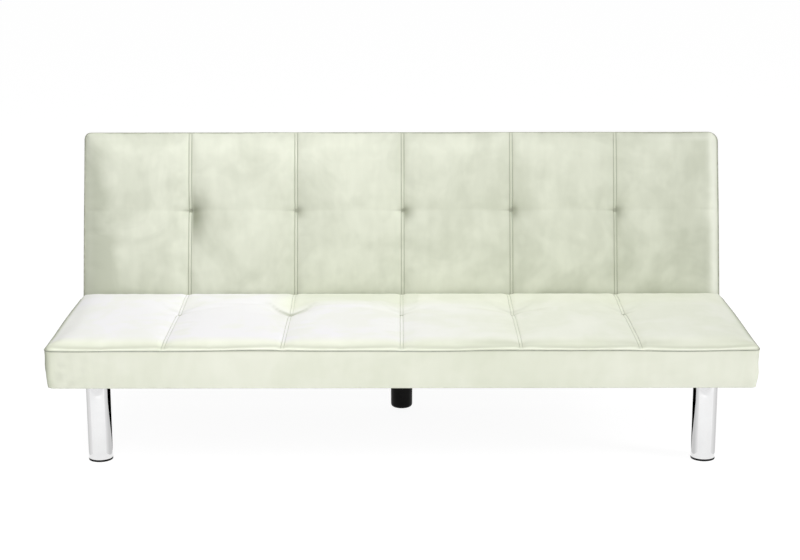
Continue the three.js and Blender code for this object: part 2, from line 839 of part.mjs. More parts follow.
// The bracket on the back's side rail, with the riveted pawl pin and the spring's hook
function backBracket(side) {
  const pivot = new THREE.Vector2(0, 0);
  const pin = new THREE.Vector2(pawlReach, 0);
  const end = new THREE.Vector2(armReach, -armDrop);
  const anchor = new THREE.Vector2(anchorReach, -anchorDrop);
  const lobe = pin.clone().lerp(end, (anchorReach - pawlReach) / (armReach - pawlReach));
  const outer = backPlateX + plateThickness;
  const links = [
    link(pivot, backHeadRadius, pin, backKneeRadius),
    link(pin, backKneeRadius + overlap, end, armEnd),
    link(lobe, lobeRadius, anchor, anchorRadius),
  ].map((shape) => sidePrism(side, shape, backPlateX, outer));
  const pinHead = seatPlateX - seating - rivetHeadHeight;
  const rivet = sideTurned(side, [
    [0, pinHead],
    [rivetHeadRadius - rivetHeadHeight / 2, pinHead],
    [rivetHeadRadius, pinHead + rivetHeadHeight / 2],
    [rivetHeadRadius, pinHead + rivetHeadHeight],
    [pawlPinRadius, pinHead + rivetHeadHeight],
    [pawlPinRadius, backPlateX + plateThickness / 2],
    [0, backPlateX + plateThickness / 2],
  ], smallSegments).translate(0, pin.x, pin.y);
  const hook = sideBar(side, hookRadius, hingeX - hookOverhang, backPlateX + plateThickness / 2);
  const screws = armScrewShares.map((share) => {
    const place = pin.clone().lerp(end, share);
    return sideTurned(side, [
      [0, backPlateX - screwHeadHeight],
      [screwHeadRadius / 2, backPlateX - screwHeadHeight],
      [screwHeadRadius, backPlateX - screwHeadHeight / 2],
      [screwHeadRadius, backPlateX + screwHeadHeight],
      [0, backPlateX + screwHeadHeight],
    ], smallSegments).translate(0, place.x, place.y);
  });
  const whole = join(...links, rivet, hook.translate(0, anchor.x, anchor.y), ...screws);
  const hole = sideBar(side, pivotRadius + turning, backPlateX - overrun, outer + overrun, roundSegments);
  return cut(whole, hole).translate(0, pivotInset, pivotInPad);
}

// The pawl about its own pin, as it lies when the nose is in a notch
function pawl(side) {
  const pin = new THREE.Vector2(0, 0);
  const tip = polar(rootRadius + noseClearance, noseAngle).sub(new THREE.Vector2(pawlReach, 0));
  const knee = polar(rootRadius + noseClearance + noseLength, noseAngle).sub(new THREE.Vector2(pawlReach, 0));
  const aside = polar(noseWidth / 2, noseAngle + 90);
  const nose = new THREE.Shape([
    tip.clone().sub(aside),
    knee.clone().sub(aside),
    knee.clone().add(aside),
    tip.clone().add(aside),
  ]);
  const tail = new THREE.Vector2(pawlTailReach, -pawlTailDrop);
  const outer = seatPlateX + plateThickness;
  const arms = [nose, link(pin, pawlBoss, knee, pawlKnee), link(pin, pawlBoss - overlap, tail, pawlKnee)];
  const hook = sideBar(side, hookRadius, hingeX - hookOverhang, seatPlateX + plateThickness / 2);
  const whole = join(
    ...arms.map((shape) => sidePrism(side, shape, seatPlateX, outer)),
    hook.translate(0, tail.x, tail.y),
  );
  const bore = sideBar(side, pawlPinRadius + turning, seatPlateX - overrun, outer + overrun);
  return cut(whole, bore);
}

// The spring between the pawl's tail and the bracket's hook, in the back's frame
function pawlSpring(side) {
  const tail = new THREE.Vector2(pawlTailReach, -pawlTailDrop).rotateAround(new THREE.Vector2(), radians(pawlLift));
  const from = new THREE.Vector3(0, pawlReach + tail.x, tail.y);
  const to = new THREE.Vector3(0, anchorReach, -anchorDrop);
  const way = to.clone().sub(from).normalize();
  const clear = hookRadius + seating;
  const length = from.distanceTo(to) - 2 * clear;
  const lead = (length - springCurls * springPitch) / 2;
  const out = axes[across];
  const up = way.clone().cross(out);
  const points = [];
  const sideways = [];
  function addPoint(place, radius, turn) {
    const radial = out.clone().multiplyScalar(Math.cos(turn)).addScaledVector(up, Math.sin(turn));
    points.push(from.clone().addScaledVector(way, clear + place).addScaledVector(radial, radius));
    sideways.push(radial);
  }
  addPoint(0, 0, 0);
  addPoint(lead - springPitch / 2, 0, 0);
  const steps = springCurls * curlSteps;
  for (let step = 0; step <= steps; step += 1) {
    const swell = Math.min(1, (2 * step) / curlSteps, (2 * (steps - step)) / curlSteps);
    addPoint(lead + (springPitch * step) / curlSteps, springRadius * swell, (2 * Math.PI * step) / curlSteps);
  }
  addPoint(length - lead + springPitch / 2, 0, 0);
  addPoint(length, 0, 0);
  if (side > 0) console.log('pawl spring, least gap to itself:', leastGap(points, springWire).toFixed(2), 'mm');
  const springX = side * (seatPlateX - seating - springRadius - springWire);
  return wire(points, sideways, springWire).translate(springX, pivotInset, pivotInPad);
}

function hexagon(radius) {
  const step = fullTurn / hexagonSides;
  return new THREE.Shape(Array.from({ length: hexagonSides }, (_, corner) => polar(radius, step * corner)));
}

for (const [name, side] of [['left', -1], ['right', 1]]) {
  piece(seatGroup, `${name}_seat_bracket`, seatBracket(side), zincSteel);
  piece(backPad, `${name}_back_bracket`, backBracket(side), zincSteel);

  const nutLow = backPlateX + plateThickness + seating;
  const headHigh = seatPlateX - seating;
  const bolt = sideTurned(side, [
    [0, headHigh - boltHeadHeight],
    [boltHeadRadius - boltHeadHeight / 2, headHigh - boltHeadHeight],
    [boltHeadRadius, headHigh - boltHeadHeight / 2],
    [boltHeadRadius, headHigh],
    [pivotRadius, headHigh],
    [pivotRadius, nutLow + nutHeight + seating],
    [0, nutLow + nutHeight + seating],
  ]);
  const nutOutline = hexagon(nutRadius);
  nutOutline.holes.push(disc(new THREE.Vector2(0, 0), pivotRadius + turning));
  const nut = sidePrism(side, nutOutline, nutLow, nutLow + nutHeight);
  piece(seatGroup, `${name}_pivot_bolt`, bolt.translate(0, pivotY, pivotZ), zincSteel);
  piece(seatGroup, `${name}_pivot_nut`, nut.translate(0, pivotY, pivotZ), zincSteel);

  const pawlPivot = new THREE.Group();
  pawlPivot.position.set(0, pivotInset + pawlReach, pivotInPad);
  pawlPivot.rotation.x = radians(pawlLift);
  backPad.add(pawlPivot);
  piece(pawlPivot, `${name}_pawl`, pawl(side), zincSteel);
  piece(backPad, `${name}_pawl_spring`, pawlSpring(side), springSteel);
}

// Back: the same build as the seat, lying on its rear face from the hinge end to the top

const nutPocket = nutHeight + nutPocketClearance;
const sides = [-1, 1];

function nutPockets() {
  return sides.map((side) => (
    sideBar(side, nutRadius + nutPocketClearance, sideRailX - overrun, sideRailX + nutPocket, roundSegments)
      .translate(0, pivotInset, pivotInPad)
  ));
}

function hingeNotches() {
  const low = [-overrun, -overrun];
  const high = [pivotInset + notchReach, pivotInPad + notchTop];
  return sides.map((side) => sideBlock(side, notchX, sideRailX, low, high));
}

const backRailLow = clothThickness + seating;
const backRailHigh = backRailLow + backRailHeight;
const strapLow = backRailHigh + seating;
const backEndLow = coverHingeWall + seating;
const topRailHigh = backLength - coverFreeWall - seating;
const topRailLow = topRailHigh - railWidth;
const innerRailOuter = notchX - seating;
const innerRailInner = innerRailOuter - railWidth;

piece(backPad, 'back_cover', cut(padSolid(backPadForm), padPocket(backPadForm), ...hingeNotches()), velvet);

const backFoam = block(
  [-sideRailOuter, backEndLow, strapLow + strapThickness + seating],
  [sideRailOuter, topRailHigh, backThickness - coverTopWall - seating],
);
piece(backPad, 'back_foam', cut(backFoam, ...hingeNotches(), ...nutPockets()), foam);

const backCloth = block([-sideRailOuter, backEndLow, 0], [sideRailOuter, topRailHigh, clothThickness]);
piece(backPad, 'back_cloth', cut(backCloth, ...hingeNotches()), blackCloth);

function backRail(name, left, right, low, high, axis) {
  piece(backPad, name, board([left, low, backRailLow], [right, high, backRailHigh], axis), pine);
}

const bottomRailHigh = backEndLow + railWidth;
const bottomRailSpan = innerRailInner - seating;
backRail('back_top_rail', -sideRailOuter, sideRailOuter, topRailLow, topRailHigh, across);
backRail('back_bottom_rail', -bottomRailSpan, bottomRailSpan, backEndLow, bottomRailHigh, across);
backRail('back_centre_rail', -railWidth / 2, railWidth / 2, bottomRailHigh + seating, topRailLow - seating, along);
backRail('back_left_inner_rail', -innerRailOuter, -innerRailInner, backEndLow, topRailLow - seating, along);
backRail('back_right_inner_rail', innerRailInner, innerRailOuter, backEndLow, topRailLow - seating, along);

const pockets = nutPockets();
sides.forEach((side, index) => {
  const name = side < 0 ? 'back_left_rail' : 'back_right_rail';
  const left = Math.min(side * sideRailX, side * sideRailOuter);
  const low = [left, backEndLow, backRailLow];
  const rail = board(low, [left + railWidth, topRailLow - seating, backRailHigh], along);
  piece(backPad, name, cut(rail, pockets[index]), pine);
});

strapShares.forEach((share, index) => {
  const low = share * backLength - strapWidth / 2;
  piece(backPad, index === 0 ? 'back_strap_lower' : 'back_strap_upper', block(
    [-sideRailOuter, low, strapLow],
    [sideRailOuter, low + strapWidth, strapLow + strapThickness],
  ), webbing);
});

// The origin lies on the floor, below the middle of the whole sofa

sofa.updateMatrixWorld(true);
const bounds = new THREE.Box3().setFromObject(sofa, true);
sofa.position.y = -(bounds.min.y + bounds.max.y) / 2;
sofa.updateMatrixWorld(true);
const pivotPlace = backPivot.getWorldPosition(new THREE.Vector3());
console.log('pivot:', pivotPlace.toArray().map((value) => value.toFixed(3)).join(' '));
console.log('height:', bounds.max.z.toFixed(1), 'depth:', (bounds.max.y - bounds.min.y).toFixed(1));

export default sofa;
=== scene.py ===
# Click clack sofa bed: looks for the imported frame. Lengths in metres, angles in degrees.
import math
import bpy
import numpy as np
from mathutils import Matrix, Vector
from mathutils.bvhtree import BVHTree


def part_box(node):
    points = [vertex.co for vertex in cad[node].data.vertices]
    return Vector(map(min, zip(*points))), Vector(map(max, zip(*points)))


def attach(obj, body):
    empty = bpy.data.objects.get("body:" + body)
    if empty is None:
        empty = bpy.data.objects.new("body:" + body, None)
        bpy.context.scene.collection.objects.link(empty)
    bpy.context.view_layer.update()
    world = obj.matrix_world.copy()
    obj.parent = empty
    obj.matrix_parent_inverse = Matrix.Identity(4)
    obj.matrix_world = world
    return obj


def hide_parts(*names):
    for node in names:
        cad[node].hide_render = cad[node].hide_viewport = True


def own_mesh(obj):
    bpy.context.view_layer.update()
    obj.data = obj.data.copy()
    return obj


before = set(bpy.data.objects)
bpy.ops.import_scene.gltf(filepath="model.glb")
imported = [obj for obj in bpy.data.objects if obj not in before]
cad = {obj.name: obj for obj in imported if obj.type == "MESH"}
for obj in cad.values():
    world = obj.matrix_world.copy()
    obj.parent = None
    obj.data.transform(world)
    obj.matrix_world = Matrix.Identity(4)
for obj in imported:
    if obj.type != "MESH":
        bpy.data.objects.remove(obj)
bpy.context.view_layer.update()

# Small helpers for pieces

def report(words):
    print("sofa bed:", words)


def clearSelection():
    if bpy.context.object and bpy.context.object.mode != "OBJECT":
        bpy.ops.object.mode_set(mode="OBJECT")
    bpy.ops.object.select_all(action="DESELECT")


def pickOnly(piece):
    clearSelection()
    piece.select_set(True)
    bpy.context.view_layer.objects.active = piece


def bakePlace(piece):  # the place goes into the mesh, and the object back to the origin
    pickOnly(piece)
    bpy.ops.object.transform_apply(location=True, rotation=True, scale=True)
    return piece


def applyAll(piece):
    pickOnly(piece)
    for modifier in list(piece.modifiers):
        bpy.ops.object.modifier_apply(modifier=modifier.name)
    return piece


def smooth(piece, angle):
    pickOnly(piece)
    bpy.ops.object.shade_smooth_by_angle(angle=math.radians(angle))
    return piece


def paint(piece, material):
    piece.data.materials.clear()
    piece.data.materials.append(material)
    return piece


def meshPiece(name, points, faces):
    mesh = bpy.data.meshes.new(name)
    mesh.from_pydata([tuple(point) for point in points], [], faces)
    mesh.update()
    piece = bpy.data.objects.new(name, mesh)
    bpy.context.scene.collection.objects.link(piece)
    return piece


def pointsOf(piece):
    places = np.zeros(len(piece.data.vertices) * 3)
    piece.data.vertices.foreach_get("co", places)
    return places.reshape(-1, 3)


def takeShape(piece):  # points and faces to copy many times; the piece itself goes
    points, faces = pointsOf(piece), [list(face.vertices) for face in piece.data.polygons]
    bpy.data.objects.remove(piece)
    return points, faces


def gridFaces(order):  # a face in every cell of a grid of point numbers
    corners = [order[:-1, :-1], order[:-1, 1:], order[1:, 1:], order[1:, :-1]]
    return np.stack(corners, -1).reshape(-1, 4).tolist()


def addBox(low, high):
    clearSelection()
    middle, size = (np.array(low) + high) / 2, np.array(high) - low
    bpy.ops.mesh.primitive_cube_add(size=1, location=middle, scale=size)
    return bakePlace(bpy.context.object)


def carve(piece, blocks):  # cuts boxes out of a closed piece
    for low, high in blocks:
        tool = addBox(low, high)
        cutter = piece.modifiers.new("carve", "BOOLEAN")
        cutter.operation, cutter.solver, cutter.object = "DIFFERENCE", "EXACT", tool
        applyAll(piece)
        bpy.data.objects.remove(tool)
    return piece


def addBevel(piece, width, segments, angle):
    edge = piece.modifiers.new("edge", "BEVEL")
    edge.width, edge.segments = width, segments
    edge.limit_method, edge.angle_limit = "ANGLE", math.radians(angle)


def addWall(piece, thickness):  # gives a flat cloth its thickness
    wall = piece.modifiers.new("wall", "SOLIDIFY")
    wall.thickness, wall.offset = thickness, -1
    return applyAll(piece)


def boxOf(node):
    low, high = (Vector(corner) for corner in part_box(node))
    return low, high, (low + high) / 2


def middleOf(node):
    return boxOf(node)[2]


def deliver(piece, body, replaced=()):  # every piece rides on its body, and the solids that it stands for are hidden
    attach(piece, body)
    if replaced:
        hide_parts(*replaced)
    return piece


# Small helpers for shader nodes

def newMaterial(name):
    material = bpy.data.materials.new(name)
    material.use_nodes = True
    material.node_tree.nodes.clear()
    return material, material.node_tree


def feed(tree, value, socket):  # a value is a number, a colour or another node's socket
    if isinstance(value, bpy.types.NodeSocket):
        tree.links.new(value, socket)
    else:
        socket.default_value = value


def addNode(tree, kind, **values):
    node = tree.nodes.new(kind)
    for key, value in values.items():
        socket = next((s for s in node.inputs if s.name == key and s.enabled), None)
        if socket is None:
            setattr(node, key, value)
        else:
            feed(tree, value, socket)
    return node


def maths(tree, operation, first, second=0.0, clamp=False):
    node = addNode(tree, "ShaderNodeMath", operation=operation, use_clamp=clamp)
    feed(tree, first, node.inputs[0])
    feed(tree, second, node.inputs[1])
    return node.outputs[0]


def mixColours(tree, share, first, second):
    node = addNode(tree, "ShaderNodeMix", data_type="RGBA")
    for name, value in (("Factor_Float", share), ("A_Color", first), ("B_Color", second)):
        feed(tree, value, next(s for s in node.inputs if s.identifier == name))
    return next(s for s in node.outputs if s.identifier == "Result_Color")


def spread(tree, value, low, high, outLow=0.0, outHigh=1.0):  # maps one span of values onto another
    spans = {"Value": value, "From Min": low, "From Max": high, "To Min": outLow, "To Max": outHigh}
    return addNode(tree, "ShaderNodeMapRange", **spans).outputs["Result"]


def noise(tree, place, scale, detail, **more):
    node = addNode(tree, "ShaderNodeTexNoise", Vector=place, Scale=scale, Detail=detail, **more)
    return node.outputs["Fac"]


def stretched(tree, place, **values):
    return addNode(tree, "ShaderNodeMapping", Vector=place, **values).outputs[0]


def grey(tree, tone):
    return addNode(tree, "ShaderNodeCombineColor", Red=tone, Green=tone, Blue=tone).outputs[0]


def readMark(tree, name):  # a value that the mesh carries in its points
    return addNode(tree, "ShaderNodeAttribute", attribute_name=name).outputs["Fac"]


def srgb(red, green, blue):  # a colour as a screen shows it, 0 to 255, made linear
    parts = [part / 255 for part in (red, green, blue)]
    return tuple(p / 12.92 if p <= 0.04045 else ((p + 0.055) / 1.055) ** 2.4 for p in parts) + (1.0,)


# Camera, floor and light

cameraLook = {"place": (-0.004, -4.399, 1.450), "pitch": 13.545, "roll": -0.08, "lens": 77.85, "sensor": 36}

clearSelection()
bpy.ops.object.camera_add(location=cameraLook["place"])
camera = bpy.context.object
pitched = Matrix.Rotation(math.radians(90 - cameraLook["pitch"]), 4, "X")
rolled = Matrix.Rotation(math.radians(cameraLook["roll"]), 4, "Z")
camera.rotation_euler = (pitched @ rolled).to_euler()
camera.data.lens = cameraLook["lens"]
camera.data.sensor_width = cameraLook["sensor"]
bpy.context.scene.camera = camera
bpy.context.scene.view_settings.view_transform = "Standard"

stageLook = {
    "floorSize": 60,
    "floorBounce": 0.72,  # how much of its light the floor gives back to the sofa
    "floorShown": 0.22,
    "floorGlow": 0.93,
    "skyLight": 0.28,
    "lamps": {
        "keyLamp": {"place": (6.0, -2.4, 2.9), "size": 2.2, "power": 160, "aim": (0.1, 0.0, 0.45)},
        "leftLamp": {"place": (-1.3, -1.3, 2.4), "size": 1.4, "power": 8, "aim": (-0.4, 0.0, 0.4)},
        "overheadLamp": {"place": (-0.4, -0.25, 3.2), "size": 2.2, "power": 40, "aim": (-0.2, -0.15, 0.3)},
        "frontLamp": {"place": (-0.2, -3.2, 0.7), "size": 2.6, "power": 42, "aim": (0.0, 0.0, 0.3)},
    },
}


def whiteForEyes(tree):  # 1 where the camera, gloss or glass looks
    path = addNode(tree, "ShaderNodeLightPath")
    seen = maths(tree, "MAXIMUM", path.outputs["Is Camera Ray"], path.outputs["Is Glossy Ray"])
    return maths(tree, "MAXIMUM", seen, path.outputs["Is Transmission Ray"])


def makeSky():
    world = bpy.data.worlds.new("paleStudio")
    bpy.context.scene.world = world
    world.use_nodes = True
    sky = world.node_tree
    sky.nodes.clear()
    shade = addNode(sky, "ShaderNodeBackground", Color=(1, 1, 1, 1))
    sky.links.new(spread(sky, whiteForEyes(sky), 0, 1, stageLook["skyLight"], 1.0), shade.inputs["Strength"])
    sky.links.new(shade.outputs[0], addNode(sky, "ShaderNodeOutputWorld").inputs["Surface"])


def makeFloor():
    clearSelection()
    bpy.ops.mesh.primitive_plane_add(size=stageLook["floorSize"], location=(0, 0, 0))
    floor = bpy.context.object
    floor.name = "studioFloor"
    floorPaint, tree = newMaterial("paleFloor")
    seen = whiteForEyes(tree)
    tone = spread(tree, seen, 0, 1, stageLook["floorBounce"], stageLook["floorShown"])
    matt = addNode(tree, "ShaderNodeBsdfDiffuse", Color=grey(tree, tone))
    glow = addNode(tree, "ShaderNodeEmission", Color=(1, 1, 1, 1),
                   Strength=maths(tree, "MULTIPLY", seen, stageLook["floorGlow"]))
    both = addNode(tree, "ShaderNodeAddShader")
    tree.links.new(matt.outputs[0], both.inputs[0])
    tree.links.new(glow.outputs[0], both.inputs[1])
    tree.links.new(both.outputs[0], addNode(tree, "ShaderNodeOutputMaterial").inputs["Surface"])
    paint(floor, floorPaint)


def hangLamp(name, lamp):
    clearSelection()
    bpy.ops.object.light_add(type="AREA", location=lamp["place"])
    light = bpy.context.object
    light.name = name
    light.data.shape = "DISK"
    light.data.size = lamp["size"]
    light.data.energy = lamp["power"]
    light.visible_glossy = name != "frontLamp"  # polished legs don't mirror it
    light.rotation_euler = (Vector(lamp["aim"]) - Vector(lamp["place"])).to_track_quat("-Z", "Y").to_euler()


makeSky()
makeFloor()
for name, lamp in stageLook["lamps"].items():
    hangLamp(name, lamp)
report("camera, floor and lamps are set")

# Tufted pads: a place on a pad is across (x), from the hinge end (along) and up from its flat side (high)

halfWidth = 0.865
pivot = Vector((0, 0.20435, 0.268))
pivotInPad = 0.040  # from the hinge end, and up from the flat side
reclineToFlat = 74

padShape = {  # what both pads share
    "seamDepth": 0.0042, "seamSpread": 0.010, "ridge": 0.0010, "ridgeSpread": 0.0022,
    "stitchAside": 0.0037, "groove": 0.0009, "grooveSpread": 0.0008,
    "tuftDepth": 0.0125, "tuftSpread": 0.027, "tuftLean": 0.004, "tuftTip": 0.002,
    "bowlAcross": 0.054, "bowlAlong": 0.062, "bowlAhead": 0.8,
    "creaseDepth": 0.0030, "creaseLength": 0.070, "creaseSpread": 0.0065, "creaseFlare": 0.05,
    "smileReach": 0.05, "smileMost": 1.1,
    "crownReach": 0.115, "crownCurve": 2.6,
    "tuckReach": 0.12, "leastTuck": 0.03, "bulgeShare": 0.1, "bulgeReach": 1.1,
    "sideBulge": 0.0012, "foot": 0.0014, "cornerPuff": 0.0026, "cornerReach": 0.070,
    "wave": 0.0012, "waves": (9.1, 21, 14), "waveReach": 0.03,
}
seatPad = {
    "name": "seat", "length": 0.540, "thickness": 0.096, "crown": 0.0135, "hingeRound": 0.014,
    "hingeRise": 0.75, "corners": (0.013, 0.018), "rollReach": 0.0115, "tuck": 40, "rollShare": 0.62,
    "taper": 0.0035, "creaseWide": 0.0095, "creases": [0.3, 0.5, 0.3, 1.6, 0.3],
    "tuftRow": 0.205, "seams": [2 * halfWidth * k / 6 - halfWidth for k in range(1, 6)],
    "smile": 0.052, "tuftPull": [0.7, 0.8, 0.9, 1.25, 0.75],
    "bowls": [0.0030, 0.0040, 0.0026, 0.0085, 0.0030],
    "shadows": [(0.35, 0.014, 0.010)] * 5,  # how dark, wide and tall the shade beside each tuft is
    "seed": 11, "place": Matrix.Translation((0, 0.15435, 0.212)) @ Matrix.Rotation(math.pi, 4, "Z"),
}
backPad = {
    "name": "back", "length": 0.513, "thickness": 0.080, "crown": 0.0115, "hingeRound": 0.025,
    "hingeRise": 0.0, "corners": (0.016, 0.026), "rollReach": 0.026, "tuck": 5, "rollShare": 0.62,
    "taper": 0.0030, "creaseWide": 0.0028, "creases": [1.25, 0.85, 0.95, 1.0, 0.95],
    "tuftRow": 0.300, "seams": [2 * halfWidth * k - halfWidth for k in (0.167, 0.334, 0.502, 0.673, 0.837)],
    "smile": 0.0, "tuftPull": [1.45, 1.0, 1.2, 1.15, 1.1], "bowls": [0, 0, 0, 0, 0],
    "shadows": [(0.98, 0.033, 0.060), (0.62, 0.017, 0.016), (0.80, 0.022, 0.022), (0.70, 0.018, 0.022),
                (0.70, 0.018, 0.024)],
    "seed": 23, "place": Matrix.Translation(pivot) @ Matrix.Rotation(math.radians(reclineToFlat), 4, "X")
    @ Matrix.Translation((0, -pivotInPad, -pivotInPad)),
}


def putInPad(pad, *pieces):
    for piece in pieces:
        piece.data.transform(pad["place"])
        piece.data.update()


def bell(value, wide):  # 1 at nought, falling away on both sides
    return np.exp(-(value / wide) ** 2)


def ramp(value, start, span):  # from 0 at the start to 1 after the span; a negative span falls
    return np.clip((value - start) / span, 0, 1)


def roll(away, reach):  # how far the cover has risen at some distance from a border
    return 1 - (1 - np.clip(away / reach, 0, 1)) ** padShape["crownCurve"]


def borderGap(pad, x, along):  # how far inside the face's rounded outline
    corner = np.where(x < 0, *pad["corners"])
    overX, overY = np.abs(x) - (halfWidth - corner), along - (pad["length"] - corner)
    rounded = np.hypot(np.maximum(overX, 0), np.maximum(overY, 0))
    return corner - rounded - np.minimum(np.maximum(overX, overY), 0)


def edgeTurn(pad, gap, along):  # along its free edge the cover bulges over the welt before it turns level
    tuck = math.radians(pad["tuck"]) * bell(pad["length"] - along, padShape["tuckReach"])
    tuck = tuck + padShape["leastTuck"]
    return tuck, (math.pi / 2 + tuck) * np.clip(gap / pad["rollReach"], 0, 1) - tuck


def plump(pad, x, along):  # the bulge's outward push
    gap, reach = borderGap(pad, x, along), pad["rollReach"]
    tuck, turn = edgeTurn(pad, gap, along)
    push = reach * (np.cos(turn) / np.cos(tuck) - 1) + np.minimum(gap, reach)
    outX = np.maximum(np.abs(x) - halfWidth + padShape["bulgeReach"] * reach, 0) * np.sign(x)
    outY = np.maximum(along - pad["length"] + padShape["bulgeReach"] * reach, 0)
    size = np.maximum(np.hypot(outX, outY), 1e-9)
    return padShape["bulgeShare"] * push * outX / size, push * outY / size


def borderRise(pad, away, along):
    tuck, turn = edgeTurn(pad, away, along)
    edge = (np.sin(turn) + np.sin(tuck)) / (1 + np.sin(tuck))
    return pad["rollShare"] * edge + (1 - pad["rollShare"]) * roll(away, padShape["crownReach"])


def edgeWave(pad, x, along):  # the welt isn't ruled straight
    seed, (slow, quick, lengthways) = pad["seed"], padShape["waves"]
    waves = np.sin(slow * x + seed) + 0.6 * np.sin(quick * x + 2.3 * seed) + np.sin(lengthways * along + seed)
    return padShape["wave"] * waves


def smileBow(pad, aside):  # a seat tuft's crease bows like a smile
    return pad["smile"] * np.clip(np.abs(aside) / padShape["smileReach"], 0, padShape["smileMost"]) ** 2


def faceHeight(pad, x, along, sewn=True):
    s = padShape
    inside = borderGap(pad, x, along)
    hingeRise = pad["hingeRise"] + (1 - pad["hingeRise"]) * borderRise(pad, along - pad["hingeRound"], along)
    freeRise = borderRise(pad, inside, along)
    endRise = np.minimum(hingeRise, freeRise)
    height = pad["crown"] * endRise + edgeWave(pad, x, along) * np.exp(-inside / s["waveReach"])
    corner = np.hypot(halfWidth - np.abs(x), pad["length"] - along)
    height = height + s["cornerPuff"] * freeRise * bell(corner, s["cornerReach"])
    for seam, pull, bowl, fold in zip(pad["seams"], pad["tuftPull"], pad["bowls"], pad["creases"]):
        aside, ahead = x - seam, along - pad["tuftRow"]
        bowlMiddle = ahead + s["bowlAhead"] * s["bowlAlong"]
        hollow = (aside / s["bowlAcross"]) ** 2 + (bowlMiddle / s["bowlAlong"]) ** 2
        height = height - bowl * np.exp(-(hollow ** 3))
        near = np.sqrt((aside - s["tuftLean"] * pull) ** 2 + ahead ** 2 + s["tuftTip"] ** 2)
        height = height - s["seamDepth"] * endRise * bell(aside, s["seamSpread"])
        height = height - pull * s["tuftDepth"] * np.exp(-near / s["tuftSpread"])
        wide = s["creaseSpread"] + s["creaseFlare"] * np.abs(aside)
        crease = np.exp(-np.abs(aside) / s["creaseLength"] - ((ahead + smileBow(pad, aside)) / wide) ** 2)
        height = height - fold * s["creaseDepth"] * crease
        if sewn:
            height = height + s["ridge"] * endRise * bell(aside, s["ridgeSpread"])
            groove = bell(np.abs(aside) - s["stitchAside"], s["grooveSpread"])
            height = height - s["groove"] * endRise * groove
    return height


clothLook = {
    "cell": 0.010, "pressure": 3.0, "spare": 0.004, "bending": 2.5, "stretch": 18, "shear": 9, "mass": 0.25,
    "quality": 6, "frames": 20, "heldBeside": 0.7,  # cells on each side of a seam
    "cap": 0.006,  # the most that the puff moves a point
}


def addCloth(piece, held):
    group = piece.vertex_groups.new(name="sewn")
    group.add(held, 1.0, "REPLACE")
    modifier = piece.modifiers.new("cloth", "CLOTH")
    settings = modifier.settings
    settings.quality = clothLook["quality"]
    settings.mass = clothLook["mass"]
    settings.tension_stiffness = settings.compression_stiffness = clothLook["stretch"]
    settings.shear_stiffness = clothLook["shear"]
    settings.bending_stiffness = clothLook["bending"]
    settings.use_pressure = True
    settings.uniform_pressure_force = clothLook["pressure"]
    settings.shrink_min = -clothLook["spare"]
    settings.vertex_group_mass = "sewn"
    settings.effector_weights.gravity = 0
    modifier.collision_settings.use_collision = False
    modifier.point_cache.frame_end = clothLook["frames"]


def puffedFace(pad):  # cloth simulation of the sewn face, held along its border, seams and tufts
    cell, first = clothLook["cell"], pad["hingeRound"]
    across = int(2 * halfWidth / cell) + 1
    deep = int((pad["length"] - first) / cell) + 1
    xs, rows = np.linspace(-halfWidth, halfWidth, across), np.linspace(first, pad["length"], deep)
    x, along = np.meshgrid(xs, rows)
    still = np.stack([x, along, pad["thickness"] + faceHeight(pad, x, along, False)], -1)
    order = np.arange(x.size).reshape(x.shape)
    cloth = meshPiece(pad["name"] + "Cloth", still.reshape(-1, 3), gridFaces(order))
    held = np.zeros(x.shape, bool)
    held[0], held[-1], held[:, 0], held[:, -1] = True, True, True, True
    for seam in pad["seams"]:
        held |= np.abs(x - seam) < clothLook["heldBeside"] * cell
    addCloth(cloth, order[held].tolist())
    for step in range(1, clothLook["frames"] + 1):
        bpy.context.scene.frame_set(step)
    shift = pointsOf(applyAll(cloth)).reshape(still.shape) - still
    size = np.linalg.norm(shift, axis=-1, keepdims=True)
    shift *= clothLook["cap"] * np.tanh(size / clothLook["cap"]) / np.maximum(size, 1e-9)
    bpy.context.scene.frame_set(1)
    bpy.data.objects.remove(cloth)
    return xs, rows, shift


def between(xs, rows, field, x, along):  # the simulated shift at any place on the face, smoothly
    column = np.clip((x - xs[0]) / (xs[1] - xs[0]), 0, len(xs) - 1.001)
    row = np.clip((along - rows[0]) / (rows[1] - rows[0]), 0, len(rows) - 1.001)
    c, r = column.astype(int), row.astype(int)
    u, v = (column - c), (row - r)
    u, v = (u * u * (3 - 2 * u))[..., None], (v * v * (3 - 2 * v))[..., None]
    top = field[r, c] * (1 - u) + field[r, c + 1] * u
    low = field[r + 1, c] * (1 - u) + field[r + 1, c + 1] * u
    return top * (1 - v) + low * v


def evenly(stops, step):  # fills the spans between fixed stops with even steps
    filled = []
    for low, high in zip(stops, stops[1:]):
        count = max(1, round((high - low) / step))
        filled += [low + (high - low) * k / count for k in range(count)]
    return np.array(filled + [stops[-1]])


padSteps = {  # how far the mesh's fixed lines lie from a border, a seam and the row of tufts
    "border": [0, 0.0012, 0.0025, 0.004, 0.006, 0.008, 0.0105, 0.014, 0.020],
    "seam": [0, 0.0013, 0.0024, 0.0031, 0.0037, 0.0043, 0.0052, 0.0068, 0.009, 0.012, 0.016, 0.021],
    "tuft": [0, 0.0015, 0.003, 0.005, 0.008, 0.012, 0.017, 0.023, 0.030],
    "smile": [0.030 + 0.004 * k for k in range(11)],
    "acrossCell": 0.009, "alongCell": 0.0075,
}


def bothSides(middle, steps):
    return {round(middle + side * step, 6) for step in steps for side in (-1, 1)}


def padColumns(pad):
    stops = {round(side * (halfWidth - step), 6) for step in padSteps["border"] for side in (-1, 1)}
    for seam in pad["seams"]:
        stops |= bothSides(seam, padSteps["seam"])
    return evenly(sorted(stops), padSteps["acrossCell"])


